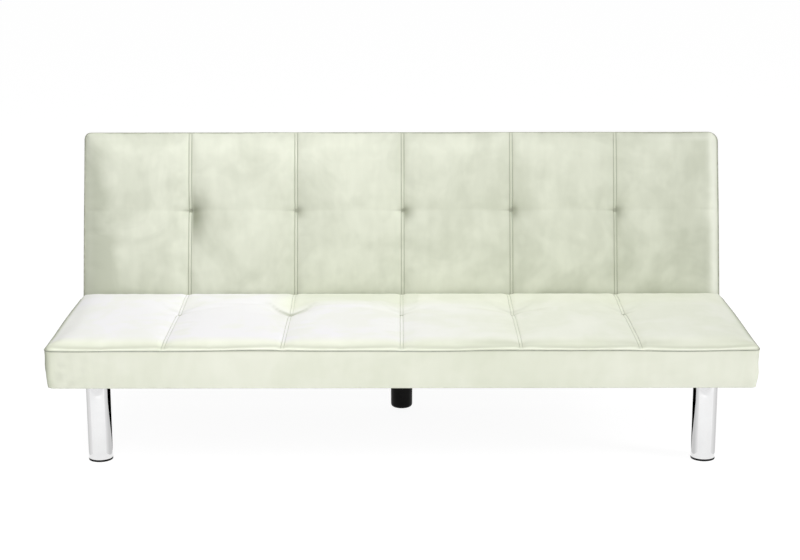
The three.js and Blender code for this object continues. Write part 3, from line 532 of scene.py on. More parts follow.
def padRows(pad):
    stops = {round(pad["length"] - step, 6) for step in padSteps["border"]}
    stops |= {round(pad["hingeRound"] + step, 6) for step in padSteps["border"]}
    stops |= bothSides(pad["tuftRow"], padSteps["tuft"])
    if pad["smile"]:
        stops |= {round(pad["tuftRow"] - step, 6) for step in padSteps["smile"]}
    return evenly(sorted(stops), padSteps["alongCell"])


def levelPlace(pad, x, along, side, hinge):  # one level's outline, drawn in, with round corners
    corner = np.where(x < 0, *pad["corners"])
    span, start, end = halfWidth - side, hinge, pad["length"] - side
    share = (along - pad["hingeRound"]) / (pad["length"] - pad["hingeRound"])
    px, py = x / halfWidth * span, start + share * (end - start)
    outX = np.abs(px) - (span - corner)
    outY = np.maximum(start + corner - py, py - (end - corner))
    both = (outX > 0) & (outY > 0)
    pull = np.where(both, np.maximum(outX, outY) / np.maximum(np.hypot(outX, outY), 1e-9), 1)
    roundX = np.sign(px) * (span - corner + outX * pull)
    roundY = np.where(py < pad["length"] / 2, start + corner - outY * pull, end - corner + outY * pull)
    return np.where(both, roundX, px), np.where(both, roundY, py)


sideLook = {  # the pad's side band, from the welt down to the flat side
    "upperTurns": [15, 30, 45, 60, 75, 90], "lowerTurns": [20, 40, 55, 68, 80, 90], "levels": 7,
    "taperCurve": 1.1, "bulgeCurve": 1.6, "underShare": 0.7,
    "foldLeast": 0.0004, "foldMost": 0.0021, "foldReach": 0.12, "foldFade": 1.3,
    "hingeReach": 0.02, "sideReach": 0.012,
}


def padLevels(pad):  # height, draw-in of the free sides and of the hinge end, share of the face's rise
    thick, bend, foot = pad["thickness"], pad["hingeRound"], padShape["foot"]
    heights = [thick - bend * (1 - math.cos(turn)) for turn in np.radians(sideLook["upperTurns"])]
    heights += list(np.linspace(thick - bend, bend, sideLook["levels"])[1:])
    heights += [bend * (1 - math.sin(turn)) for turn in np.radians(sideLook["lowerTurns"])]
    levels = []
    for height in heights:
        up = height / thick
        side = pad["taper"] * (1 - up) ** sideLook["taperCurve"]
        side -= padShape["sideBulge"] * math.sin(math.pi * up ** sideLook["bulgeCurve"])
        side += max(0.0, foot - height) ** 2 / foot
        rise = (height - (thick - bend)) / bend
        drop = (bend - height) / bend
        hinge = bend * (1 - math.sqrt(max(0.0, 1 - rise * rise))) if rise > 0 else 0.0
        if drop > 0:
            hinge = sideLook["underShare"] * bend * (1 - math.sqrt(max(0.0, 1 - drop * drop)))
        levels.append((height, side, hinge, max(0.0, rise)))
    return levels


def sideFolds(pad, px, py, height):  # faint upright folds in the side band, most near its corners
    up = height / pad["thickness"]
    corner = np.exp(-np.hypot(halfWidth - np.abs(px), pad["length"] - py) / sideLook["foldReach"])
    fold = np.sin(150 * px + 6 * up + pad["seed"]) * np.sin(61 * px - 4 * up) + np.sin(95 * py + 5 * up)
    depth = sideLook["foldLeast"] + sideLook["foldMost"] * corner * (sideLook["foldFade"] - up)
    return depth * fold * math.sin(math.pi * up)


def rimOf(deep, wide):  # rows and columns of a grid's outermost points, in order
    rim = [(0, c) for c in range(wide - 1)] + [(r, wide - 1) for r in range(deep - 1)]
    rim += [(deep - 1, c) for c in range(wide - 1, 0, -1)] + [(r, 0) for r in range(deep - 1, 0, -1)]
    return np.array(rim).T


def makeSkin(pad):
    xs, rows, shift = puffedFace(pad)
    x, along = np.meshgrid(padColumns(pad), padRows(pad))
    px, py = levelPlace(pad, x, along, 0, pad["hingeRound"])
    pushX, pushY = plump(pad, px, py)
    top = np.stack([px + pushX, py + pushY, pad["thickness"] + faceHeight(pad, px, py)], -1)
    top = top + between(xs, rows, shift, px, py)
    points = [top.reshape(-1, 3)]
    order = np.arange(x.size).reshape(x.shape)
    faces = gridFaces(order)
    rimRow, rimColumn = rimOf(*x.shape)
    rimX, rimAlong, upper = x[rimRow, rimColumn], along[rimRow, rimColumn], order[rimRow, rimColumn]
    free = ramp(rimAlong, pad["hingeRound"], sideLook["hingeReach"])
    crest = top[rimRow, rimColumn, 2] - pad["thickness"]
    count, rimCount = x.size, len(rimX)
    for height, side, hinge, share in padLevels(pad):
        lx, ly = levelPlace(pad, rimX, rimAlong, side, hinge)
        outX = np.where(np.abs(np.abs(lx) - halfWidth) < sideLook["sideReach"], np.sign(lx), 0.0)
        outY = np.where(ly > pad["length"] - sideLook["sideReach"], 1.0, 0.0)
        fold = sideFolds(pad, lx, ly, height) * free
        up = height / pad["thickness"]
        lift = edgeWave(pad, lx, ly) * free * up ** 4 + crest * (1 - free) * share
        points.append(np.stack([lx + fold * outX, ly + fold * outY, np.full(rimCount, height) + lift], -1))
        lower = count + np.arange(rimCount)
        count += rimCount
        faces += np.stack([upper, lower, np.roll(lower, -1), np.roll(upper, -1)], -1).tolist()
        upper = lower
    faces.append(upper[::-1].tolist())
    return meshPiece(pad["name"] + "_cushion", np.concatenate(points), faces)


pocket = {"side": 0.8285, "hingeWall": 0.008, "freeWall": 0.034, "topWall": 0.022, "past": 0.01}
hingeNotch = {"inner": 0.761, "outer": 0.7832, "far": 0.170, "high": 0.066}


def makePad(pad, notched):  # the skin, hollowed for the frame and the foam, and beside each hinge
    past, side = pocket["past"], pocket["side"]
    far, roof = pad["length"] - pocket["freeWall"], pad["thickness"] - pocket["topWall"]
    blocks = [((-side, pocket["hingeWall"], -past), (side, far, roof))]
    if notched:
        inner, outer, far, high = hingeNotch.values()
        blocks += [((-outer, -past, -past), (-inner, far, high)), ((inner, -past, -past), (outer, far, high))]
    return carve(makeSkin(pad), blocks)

# Shader groups shared by several finishes

number, vector = "NodeSocketFloat", "NodeSocketVector"


def newGroup(name, inputs, outputs):
    group = bpy.data.node_groups.new(name, "ShaderNodeTree")
    for label, kind, value in inputs:
        socket = group.interface.new_socket(name=label, in_out="INPUT", socket_type=kind)
        if value is not None:
            socket.default_value = value
    for label, kind in outputs:
        group.interface.new_socket(name=label, in_out="OUTPUT", socket_type=kind)
    return group, group.nodes.new("NodeGroupInput"), group.nodes.new("NodeGroupOutput")


def putOut(group, out, **values):
    for name, value in values.items():
        group.links.new(value, out.inputs[name])
    return group


def useGroup(tree, group, **values):
    return addNode(tree, "ShaderNodeGroup", node_tree=group, **values).outputs


def makeNapGroup():  # velvet pile: soft patches where it lies differently, streaks and single fibres
    group, given, out = newGroup("napPatches", [("Vector", vector, None), ("Size", number, 6.0)],
                                 [("Patches", number), ("Streaks", number), ("Fibres", number)])
    place, size = given.outputs["Vector"], given.outputs["Size"]
    broad = spread(group, noise(group, place, size, 3.0, Roughness=0.55, Distortion=0.9), 0.42, 0.58)
    small = spread(group, noise(group, place, maths(group, "MULTIPLY", size, 3.4), 2.0), 0.44, 0.60)
    mixed = maths(group, "ADD", maths(group, "MULTIPLY", broad, 0.68), maths(group, "MULTIPLY", small, 0.32))
    combed = stretched(group, place, Scale=(34.0, 9.0, 9.0), Rotation=(0.0, 0.12, 0.2))
    streak = spread(group, noise(group, combed, 1.0, 3.0), 0.35, 0.65)
    fibre = noise(group, place, 950.0, 2.0, Roughness=0.7)
    return putOut(group, out, Patches=mixed, Streaks=streak, Fibres=fibre)


def makeGrainGroup():  # fine speckle of a moulded, sprayed or sawn skin
    group, given, out = newGroup("fineGrain", [("Vector", vector, None), ("Size", number, 400.0)],
                                 [("Speckle", number), ("Clouds", number)])
    place, size = given.outputs["Vector"], given.outputs["Size"]
    soft = noise(group, place, maths(group, "MULTIPLY", size, 0.045), 4.0)
    return putOut(group, out, Speckle=noise(group, place, size, 3.0), Clouds=spread(group, soft, 0.35, 0.65))


def makeWearGroup():  # 1 on rubbed edges, broken up by a noise
    group, given, out = newGroup("edgeWear", [("Vector", vector, None), ("Radius", number, 0.0015)],
                                 [("Mask", number)])
    rounded = addNode(group, "ShaderNodeBevel", samples=4, Radius=given.outputs["Radius"])
    flat = addNode(group, "ShaderNodeNewGeometry")
    dot = addNode(group, "ShaderNodeVectorMath", operation="DOT_PRODUCT")
    group.links.new(rounded.outputs["Normal"], dot.inputs[0])
    group.links.new(flat.outputs["Normal"], dot.inputs[1])
    edge = spread(group, dot.outputs["Value"], 0.99, 0.86)
    patchy = spread(group, noise(group, given.outputs["Vector"], 160.0, 3.0), 0.42, 0.60)
    return putOut(group, out, Mask=maths(group, "MULTIPLY", edge, patchy))


def makeWeaveGroup():  # threads over and under
    group, given, out = newGroup("plainWeave", [("Vector", vector, None), ("Threads", number, 900.0)],
                                 [("Height", number), ("Gaps", number)])
    pitch = maths(group, "MULTIPLY", given.outputs["Threads"], 0.05)
    over, under = (addNode(group, "ShaderNodeTexWave", bands_direction=axis, Vector=given.outputs["Vector"],
                           Scale=pitch, Distortion=0.6, Detail=1.0).outputs["Fac"] for axis in ("X", "Z"))
    crossed = maths(group, "MULTIPLY", over, under)
    raised, gaps = maths(group, "MAXIMUM", over, under), spread(group, crossed, 0.0, 0.35, 1.0, 0.0)
    return putOut(group, out, Height=raised, Gaps=gaps)


def makeDustGroup():  # thin dust, most on faces that look up
    group, given, out = newGroup("dustFilm", [("Vector", vector, None), ("Amount", number, 0.3)],
                                 [("Mask", number)])
    normal = addNode(group, "ShaderNodeNewGeometry").outputs["Normal"]
    facing = addNode(group, "ShaderNodeSeparateXYZ", Vector=normal)
    up = spread(group, facing.outputs["Z"], -0.2, 1.0, 0.15, 1.0)
    loose = spread(group, noise(group, given.outputs["Vector"], 45.0, 5.0, Roughness=0.7), 0.40, 0.68)
    film = maths(group, "MULTIPLY", up, loose)
    return putOut(group, out, Mask=maths(group, "MULTIPLY", film, given.outputs["Amount"]))


napPatches, fineGrain, edgeWear = makeNapGroup(), makeGrainGroup(), makeWearGroup()
plainWeave, dustFilm = makeWeaveGroup(), makeDustGroup()

# Finishes

def startFinish(name):
    material, tree = newMaterial(name)
    place = addNode(tree, "ShaderNodeTexCoord").outputs["Object"]
    shade = addNode(tree, "ShaderNodeBsdfPrincipled")
    tree.links.new(shade.outputs[0], addNode(tree, "ShaderNodeOutputMaterial").inputs["Surface"])
    return material, tree, place, shade


def setShade(tree, shade, **values):
    for key, value in values.items():
        feed(tree, value, shade.inputs[key.replace("_", " ")])


def bump(tree, height, strength, distance):
    node = addNode(tree, "ShaderNodeBump", Strength=strength, Distance=distance, Height=height)
    return node.outputs["Normal"]


velvetLook = {  # lit and shaded copies: the seat's velvet is painted lighter than the back's, and seam is each one's painted shade tone
    "seat": {"light": srgb(242, 244, 229), "dark": srgb(226, 230, 210), "seam": srgb(176, 180, 160),
             "patchSize": 4.2},
    "back": {"light": srgb(228, 231, 215), "dark": srgb(192, 196, 178), "seam": srgb(138, 142, 122),
             "patchSize": 5.0},
    "patches": 0.42, "streaks": 0.12, "plain": 0.46,
    # the painted light's tone, and the tone of rubbed edges and of a painted highlight
    "pale": srgb(243, 242, 244), "rubbed": srgb(240, 242, 232),
    "sheen": 0.14, "sheenTint": srgb(246, 248, 236), "fibreDepth": 0.00035,
}


def velvet(name, look):
    material, tree, place, shade = startFinish(name)
    nap = useGroup(tree, napPatches, Vector=place, Size=look["patchSize"])
    share = maths(tree, "ADD", maths(tree, "MULTIPLY", nap["Patches"], velvetLook["patches"]),
                  maths(tree, "MULTIPLY", nap["Streaks"], velvetLook["streaks"]))
    share = maths(tree, "ADD", share, velvetLook["plain"])
    # painted light and shade across the pads darkens the cloth, or lightens it where the mark is below nought
    share = maths(tree, "SUBTRACT", share, readMark(tree, "lay"), True)
    cloth = mixColours(tree, share, look["dark"], look["light"])
    # painted light: the lit part of the seat, broken up by the nap patches
    patchy = spread(tree, nap["Patches"], 0.15, 0.60, 0.70, 1.0)
    pale = maths(tree, "MULTIPLY", readMark(tree, "pale"), patchy)
    cloth = mixColours(tree, pale, cloth, velvetLook["pale"])
    # painted shade at the seams, creases, tufts, welt and edges
    sewn = maths(tree, "MULTIPLY", readMark(tree, "sewn"), 0.9, True)
    cloth = mixColours(tree, sewn, cloth, look["seam"])
    # wear along the rounded edges, with a painted highlight along the back's right edge
    rubbed = maths(tree, "MULTIPLY", readMark(tree, "rubbed"), 0.35)
    cloth = mixColours(tree, rubbed, cloth, velvetLook["rubbed"])
    setShade(tree, shade, Base_Color=cloth, Roughness=0.86, Specular_IOR_Level=0.18,
             Sheen_Weight=velvetLook["sheen"], Sheen_Roughness=0.4, Sheen_Tint=velvetLook["sheenTint"],
             Normal=bump(tree, nap["Fibres"], 0.35, velvetLook["fibreDepth"]))
    return material


clothTones = {  # dark and light, but the webbing is light and dark in its gaps
    "welt": (srgb(150, 153, 138), srgb(176, 178, 164)), "thread": (srgb(150, 154, 134), srgb(196, 199, 182)),
    "foam": (srgb(222, 200, 140), srgb(238, 224, 176)), "lining": (srgb(22, 22, 24), srgb(38, 38, 40)),
    "webbing": (srgb(72, 70, 66), srgb(30, 29, 28)), "liningDust": srgb(96, 94, 88),
}


def weltFinish():
    material, tree, place, shade = startFinish("weltVelvet")
    nap = useGroup(tree, napPatches, Vector=place, Size=40.0)
    setShade(tree, shade, Base_Color=mixColours(tree, nap["Patches"], *clothTones["welt"]), Roughness=0.8,
             Sheen_Weight=0.1, Specular_IOR_Level=0.2, Normal=bump(tree, nap["Fibres"], 0.5, 0.0004))
    return material


def threadFinish():
    material, tree, place, shade = startFinish("sewingThread")
    grain = useGroup(tree, fineGrain, Vector=place, Size=1400.0)
    setShade(tree, shade, Base_Color=mixColours(tree, grain["Speckle"], *clothTones["thread"]),
             Roughness=0.55, Normal=bump(tree, grain["Speckle"], 0.4, 0.0002))
    return material


def foamFinish():
    material, tree, place, shade = startFinish("seatFoam")
    pores = addNode(tree, "ShaderNodeTexVoronoi", Vector=place, Scale=420.0).outputs["Distance"]
    grain = useGroup(tree, fineGrain, Vector=place, Size=500.0)
    setShade(tree, shade, Base_Color=mixColours(tree, grain["Clouds"], *clothTones["foam"]), Roughness=0.95,
             Normal=bump(tree, pores, 0.8, 0.001))
    return material


def liningFinish():
    material, tree, place, shade = startFinish("blackLining")
    weave = useGroup(tree, plainWeave, Vector=place, Threads=3200.0)
    grain = useGroup(tree, fineGrain, Vector=place, Size=900.0)
    dust = useGroup(tree, dustFilm, Vector=place, Amount=0.35)
    colour = mixColours(tree, grain["Clouds"], *clothTones["lining"])
    colour = mixColours(tree, dust["Mask"], colour, clothTones["liningDust"])
    height = maths(tree, "ADD", weave["Height"], maths(tree, "MULTIPLY", grain["Speckle"], 0.6))
    setShade(tree, shade, Base_Color=colour, Roughness=0.92, Specular_IOR_Level=0.25,
             Normal=bump(tree, height, 0.6, 0.0004))
    return material


def webbingFinish():
    material, tree, place, shade = startFinish("elasticWebbing")
    weave = useGroup(tree, plainWeave, Vector=place, Threads=2400.0)
    setShade(tree, shade, Base_Color=mixColours(tree, weave["Gaps"], *clothTones["webbing"]), Roughness=0.85,
             Normal=bump(tree, weave["Height"], 0.9, 0.0006))
    return material


pineLook = {"light": srgb(222, 190, 142), "dark": srgb(182, 138, 88), "knot": srgb(112, 72, 40)}


def pineFinish(name, stretch):  # stretch is small along the grain
    material, tree, place, shade = startFinish(name)
    lying = stretched(tree, place, Scale=stretch)
    rings = noise(tree, lying, 1.0, 6.0, Roughness=0.6, Distortion=0.4)
    bands = addNode(tree, "ShaderNodeTexWave", Vector=lying, Scale=0.9, Distortion=5.0, Detail=2.0)
    grain = useGroup(tree, fineGrain, Vector=place, Size=700.0)
    dark = maths(tree, "MULTIPLY", bands.outputs["Fac"], spread(tree, rings, 0.35, 0.7))
    colour = mixColours(tree, dark, pineLook["light"], pineLook["dark"])
    knots = addNode(tree, "ShaderNodeTexVoronoi", Vector=place, Scale=5.0).outputs["Distance"]
    colour = mixColours(tree, spread(tree, knots, 0.03, 0.06, 0.8, 0.0), colour, pineLook["knot"])
    setShade(tree, shade, Base_Color=colour, Roughness=0.72,
             Normal=bump(tree, maths(tree, "ADD", dark, grain["Speckle"]), 0.4, 0.0005))
    return material


metalLook = {
    "zincPlate": {"light": srgb(196, 198, 202), "dark": srgb(150, 152, 158), "worn": srgb(228, 228, 230),
                  "rough": 0.34, "grain": 600.0, "rust": 0.25},
    "oiledSpringWire": {"light": srgb(120, 120, 124), "dark": srgb(70, 70, 74), "worn": srgb(170, 170, 172),
                        "rough": 0.42, "grain": 800.0, "rust": 0.3},
    "rustTone": srgb(120, 84, 56), "dustTone": srgb(150, 148, 140), "dust": 0.22, "wear": 0.7,
    "wearRadius": 0.0012,
}


def metalFinish(name):
    look = metalLook[name]
    material, tree, place, shade = startFinish(name)
    grain = useGroup(tree, fineGrain, Vector=place, Size=look["grain"])
    wear = useGroup(tree, edgeWear, Vector=place, Radius=metalLook["wearRadius"])
    dust = useGroup(tree, dustFilm, Vector=place, Amount=metalLook["dust"])
    colour = mixColours(tree, grain["Clouds"], look["dark"], look["light"])
    colour = mixColours(tree, maths(tree, "MULTIPLY", wear["Mask"], metalLook["wear"]), colour, look["worn"])
    stain = noise(tree, place, 28.0, 5.0)
    rust = spread(tree, stain, 0.60, 0.75, 0.0, look["rust"])
    colour = mixColours(tree, rust, colour, metalLook["rustTone"])
    colour = mixColours(tree, dust["Mask"], colour, metalLook["dustTone"])
    gloss = spread(tree, grain["Speckle"], 0.3, 0.7, look["rough"] - 0.06, look["rough"] + 0.08)
    setShade(tree, shade, Base_Color=colour, Metallic=1.0,
             Roughness=maths(tree, "ADD", gloss, maths(tree, "MULTIPLY", dust["Mask"], 0.5)),
             Normal=bump(tree, grain["Speckle"], 0.25, 0.0002))
    return material


chromeTones = (0.79, 0.791, 0.793, 1), (0.765, 0.766, 0.768, 1)


def chromeFinish():
    material, tree, place, shade = startFinish("polishedChrome")
    touch = noise(tree, place, 38.0, 5.0, Roughness=0.65)
    lines = noise(tree, stretched(tree, place, Scale=(260.0, 260.0, 6000.0)), 1.0, 2.0)
    gloss = spread(tree, touch, 0.50, 0.78, 0.030, 0.075)
    colour = mixColours(tree, spread(tree, touch, 0.35, 0.8), *chromeTones)
    setShade(tree, shade, Base_Color=colour, Metallic=1.0,
             Roughness=maths(tree, "ADD", gloss, maths(tree, "MULTIPLY", lines, 0.012)),
             Normal=bump(tree, lines, 0.02, 0.00005))
    return material


paintLook = {
    "blackPowderCoat": {"light": srgb(30, 30, 31), "dark": srgb(20, 20, 21), "worn": srgb(104, 104, 106),
                        "rough": 0.48, "grain": 1500.0, "depth": 0.0003, "wear": 0.5, "dust": 0.3,
                        "shine": 0.5},
    "blackMoulded": {"light": srgb(15, 15, 16), "dark": srgb(10, 10, 11), "worn": srgb(40, 40, 42),
                     "rough": 0.42, "grain": 1100.0, "depth": 0.0002, "wear": 0.35, "dust": 0.10,
                     "shine": 0.08},
    "softRubber": {"light": srgb(34, 33, 32), "dark": srgb(24, 24, 24), "worn": srgb(70, 68, 66),
                   "rough": 0.8, "grain": 700.0, "depth": 0.0003, "wear": 0.3, "dust": 0.4, "shine": 0.5},
    "dustTone": srgb(132, 130, 124), "wearRadius": 0.0012,
}


def paintFinish(name):
    look = paintLook[name]
    material, tree, place, shade = startFinish(name)
    grain = useGroup(tree, fineGrain, Vector=place, Size=look["grain"])
    wear = useGroup(tree, edgeWear, Vector=place, Radius=paintLook["wearRadius"])
    dust = useGroup(tree, dustFilm, Vector=place, Amount=look["dust"])
    colour = mixColours(tree, grain["Clouds"], look["dark"], look["light"])
    colour = mixColours(tree, maths(tree, "MULTIPLY", wear["Mask"], look["wear"]), colour, look["worn"])
    colour = mixColours(tree, dust["Mask"], colour, paintLook["dustTone"])
    gloss = spread(tree, grain["Clouds"], 0.0, 1.0, look["rough"] - 0.05, look["rough"] + 0.06)
    setShade(tree, shade, Base_Color=colour, Specular_IOR_Level=look["shine"],
             Roughness=maths(tree, "ADD", gloss, maths(tree, "MULTIPLY", dust["Mask"], 0.4)),
             Normal=bump(tree, grain["Speckle"], 0.35, look["depth"]))
    return material


velvetCloth = {part: velvet(f"{part}Velvet", velvetLook[part]) for part in ("seat", "back")}
weltCloth, threadShade, foamShade = weltFinish(), threadFinish(), foamFinish()
liningShade, webbingShade, chromeShade = liningFinish(), webbingFinish(), chromeFinish()
pineAcross = pineFinish("pineAcross", (3.0, 70.0, 70.0))
pineAlong = pineFinish("pineAlong", (70.0, 9.0, 9.0))
zincShade, springShade = metalFinish("zincPlate"), metalFinish("oiledSpringWire")
powderShade, plasticShade = paintFinish("blackPowderCoat"), paintFinish("blackMoulded")
rubberShade = paintFinish("softRubber")
report("finishes are mixed")

# Sewing: stitches along both sides of every seam, and a bar tack in every tuft

stitchLook = {"pitch": 0.0052, "length": 0.0036, "thick": 0.0011, "lift": 0.0001, "endGap": 0.007,
              "tackThreads": 9, "tackLength": 0.0105, "tackPitch": 0.0011, "tackThick": 0.00143,
              "tackLift": 0.0005, "tackLean": 0.06}


def oneStitch():  # one unit long along Y, one unit thick
    clearSelection()
    bpy.ops.mesh.primitive_uv_sphere_add(segments=6, ring_count=5, radius=0.5, location=(0, 0, 0))
    bead = bpy.context.object
    bpy.ops.object.mode_set(mode="EDIT")
    bpy.ops.mesh.select_all(action="SELECT")
    bpy.ops.transform.rotate(value=math.pi / 2, orient_axis="X", center_override=(0, 0, 0))
    bpy.ops.object.mode_set(mode="OBJECT")
    return takeShape(bead)


stitchPoints, stitchFaces = oneStitch()


def onFace(tree, x, along):  # a point of the cover below a place on the pad, and its normal
    return tree.ray_cast(Vector((x, along, 0.2)), Vector((0, 0, -1)))[:2]


def addStitch(points, faces, middle, forward, normal, length, thick):
    forward = (forward - normal * forward.dot(normal)).normalized()
    side = forward.cross(normal)
    turned = np.array([side * thick, forward * length, normal * thick])
    base = sum(len(block) for block in points)
    points.append(stitchPoints @ turned + np.array(middle))
    faces.extend([[base + corner for corner in face] for face in stitchFaces])


def makeStitches(pad, skin):
    tree = BVHTree.FromPolygons([v.co for v in skin.data.vertices], [p.vertices for p in skin.data.polygons])
    points, faces, look = [], [], stitchLook
    count = int((pad["length"] - pad["hingeRound"] - 2 * look["endGap"]) / look["pitch"])
    for seam in pad["seams"]:
        for aside in (-padShape["stitchAside"], padShape["stitchAside"]):
            for k in range(count + 1):
                along = pad["hingeRound"] + look["endGap"] + k * look["pitch"]
                hit, normal = onFace(tree, seam + aside, along)
                ahead = onFace(tree, seam + aside, along + 0.001)[0]
                if hit and ahead:
                    addStitch(points, faces, hit + normal * look["lift"], ahead - hit, normal,
                              look["length"], look["thick"])
        for k in range(look["tackThreads"]):
            along = pad["tuftRow"] + (k - (look["tackThreads"] - 1) / 2) * look["tackPitch"]
            hit, normal = onFace(tree, seam, along)
            lean = Vector((1, look["tackLean"] * (-1) ** k, 0))
            addStitch(points, faces, hit + normal * look["tackLift"], lean, normal,
                      look["tackLength"], look["tackThick"])
    return paint(meshPiece(pad["name"] + "_stitching", np.concatenate(points), faces), threadShade)


weltLook = {"radius": 0.0017, "out": -0.0004, "lift": 0.0002, "step": 0.006, "tuck": 0.007, "inward": 0.004}


def tubeAlong(name, path, radius, sides=3):  # a round cord along points, as a closed mesh
    line = bpy.data.curves.new(name, "CURVE")
    line.dimensions = "3D"
    spline = line.splines.new("POLY")
    spline.points.add(len(path) - 1)
    for point, place in zip(spline.points, path):
        point.co = (*place, 1)
    line.bevel_depth, line.bevel_resolution, line.use_fill_caps = radius, sides, True
    cord = bpy.data.objects.new(name, line)
    bpy.context.scene.collection.objects.link(cord)
    pickOnly(cord)
    bpy.ops.object.convert(target="MESH")
    return bpy.context.object


def makeWelt(pad):  # round the three free sides, with both ends tucked into the hinge side
    look, first, end = weltLook, pad["hingeRound"], pad["length"]
    sideRows = np.linspace(first, end, int(end / look["step"]))
    across = np.linspace(-halfWidth, halfWidth, int(2 * halfWidth / look["step"]))
    ring = [(-halfWidth, row) for row in sideRows] + [(x, end) for x in across[1:-1]]
    ring += [(halfWidth, row) for row in sideRows[::-1]]
    x, along = np.array(ring).T
    px, py = levelPlace(pad, x, along, -look["out"], first)
    path = np.stack([px, py, pad["thickness"] + edgeWave(pad, px, py) + look["lift"]], -1)
    sink = np.array([[0, -look["tuck"], -look["tuck"] * 0.6]])
    inward = np.array([[np.sign(-path[0, 0]) * look["inward"], 0, 0]])
    path = np.concatenate([path[:1] + sink + inward, path[:1] + sink * 0.5 + inward * 0.2, path,
                           path[-1:] + sink * 0.5 - inward * 0.2, path[-1:] + sink - inward])
    return paint(tubeAlong(pad["name"] + "_welt", path, look["radius"]), weltCloth)


markLook = {  # how dark and wide the painted shade at the seams, creases, tufts and welt is, and where rubbed edges lie
    "top": {"in": 0.0005, "span": 0.002, "drop": 0.002, "within": 0.008},  # what counts as the sewn face
    "seam": {"dark": 0.75, "wide": 0.0012},
    "seatFade": {"border": 0.07, "tuft": 0.05, "tuftShare": 0.8, "least": 0.30},
    "crease": {"dark": 0.6, "behind": 0.010, "peak": 0.012, "peakWide": 0.035, "seat": 0.046, "back": 0.018},
    "shadow": {"aside": 0.35, "steep": 0.007, "ahead": 0.3, "curve": 1.7},
    "weltLine": {"dark": 0.8, "tall": 0.0022, "in": 0.0005, "wide": 0.003},
    "rubbed": {"in": 0.013, "wide": 0.008},
}


def seamAndTuftShade(pad, x, along, border):  # painted shade along the seams, in each tuft's crease and beside each tuft
    onSeat, sewn = pad["name"] == "seat", np.zeros(len(x))
    seamMark, creaseMark, shadeMark = markLook["seam"], markLook["crease"], markLook["shadow"]
    for seam, fold, (dark, wide, tall) in zip(pad["seams"], pad["creases"], pad["shadows"]):
        aside, ahead = x - seam, along - pad["tuftRow"]
        line = bell(np.abs(aside) - padShape["stitchAside"], seamMark["wide"]) * seamMark["dark"]
        behind, reach = 0.0, np.exp(-np.abs(aside) / creaseMark["back"])
        if onSeat:  # the seat's painted seam shade fades, and its painted crease shade lies on the slope that looks to the front
            fade = markLook["seatFade"]
            near = bell(border, fade["border"]) + fade["tuftShare"] * bell(ahead, fade["tuft"])
            line = line * np.clip(near, fade["least"], 1)
            behind = creaseMark["behind"] + creaseMark["peak"] * bell(aside, creaseMark["peakWide"])
            reach = bell(aside, creaseMark["seat"])
        crease = bell(ahead + smileBow(pad, aside) + behind, pad["creaseWide"])
        crease = crease * creaseMark["dark"] * fold * reach
        right = -aside if onSeat else aside
        shadeAside = right - shadeMark["aside"] * wide  # painted shade on the right of each tuft
        shadow = np.where(shadeAside > 0, bell(shadeAside, wide), bell(shadeAside, shadeMark["steep"])) * dark
        middle = np.abs(ahead + shadeMark["ahead"] * tall)
        shadow = shadow * np.exp(-(middle / tall) ** shadeMark["curve"])
        sewn = np.maximum(sewn, np.maximum(line, np.maximum(crease, shadow)))
    return sewn


# Painted light and shade on the velvet: across runs from -1 at the left to 1, up from 0 at the hinge to 1;
# in, along and high are metres

seatLightAndShade = {
    "face": {"in": 0.028, "span": 0.04, "border": 0.012},
    "pale": {"middle": 0.725, "slope": 1.5, "least": 0.25, "rubbed": 0.3},
    "lessLitPatch": {"share": 0.9, "across": -0.33, "acrossWide": 0.06, "up": 0.2, "upWide": 0.16},
    "rear": {"across": -0.42, "span": 0.15, "up": 0.32, "fall": 0.12, "pale": 0.8, "lay": 0.75, "end": 0.05},
    "right": {"lay": 0.30, "across": -0.25, "span": 0.9},
    "band": {"lay": 0.40, "across": 0.3, "wide": 0.35},
    "front": {"lay": 0.75, "sewn": 0.42, "in": 0.004, "wide": 0.014},
    "sideShadeLine": {"wide": 0.008, "drop": 0.003},
    "bend": {"in": 0.024, "wide": 0.018, "across": -0.1, "span": 0.4, "dark": 0.28, "wave": 0.09,
             "waves": 19},
    "leftEndShade": {"along": 0.3, "span": 0.1, "wide": 0.024, "lineWide": 0.008},
    "wrinkleShade": {"dark": 0.8, "high": 0.015, "tall": 1.5, "reach": 0.05},
}


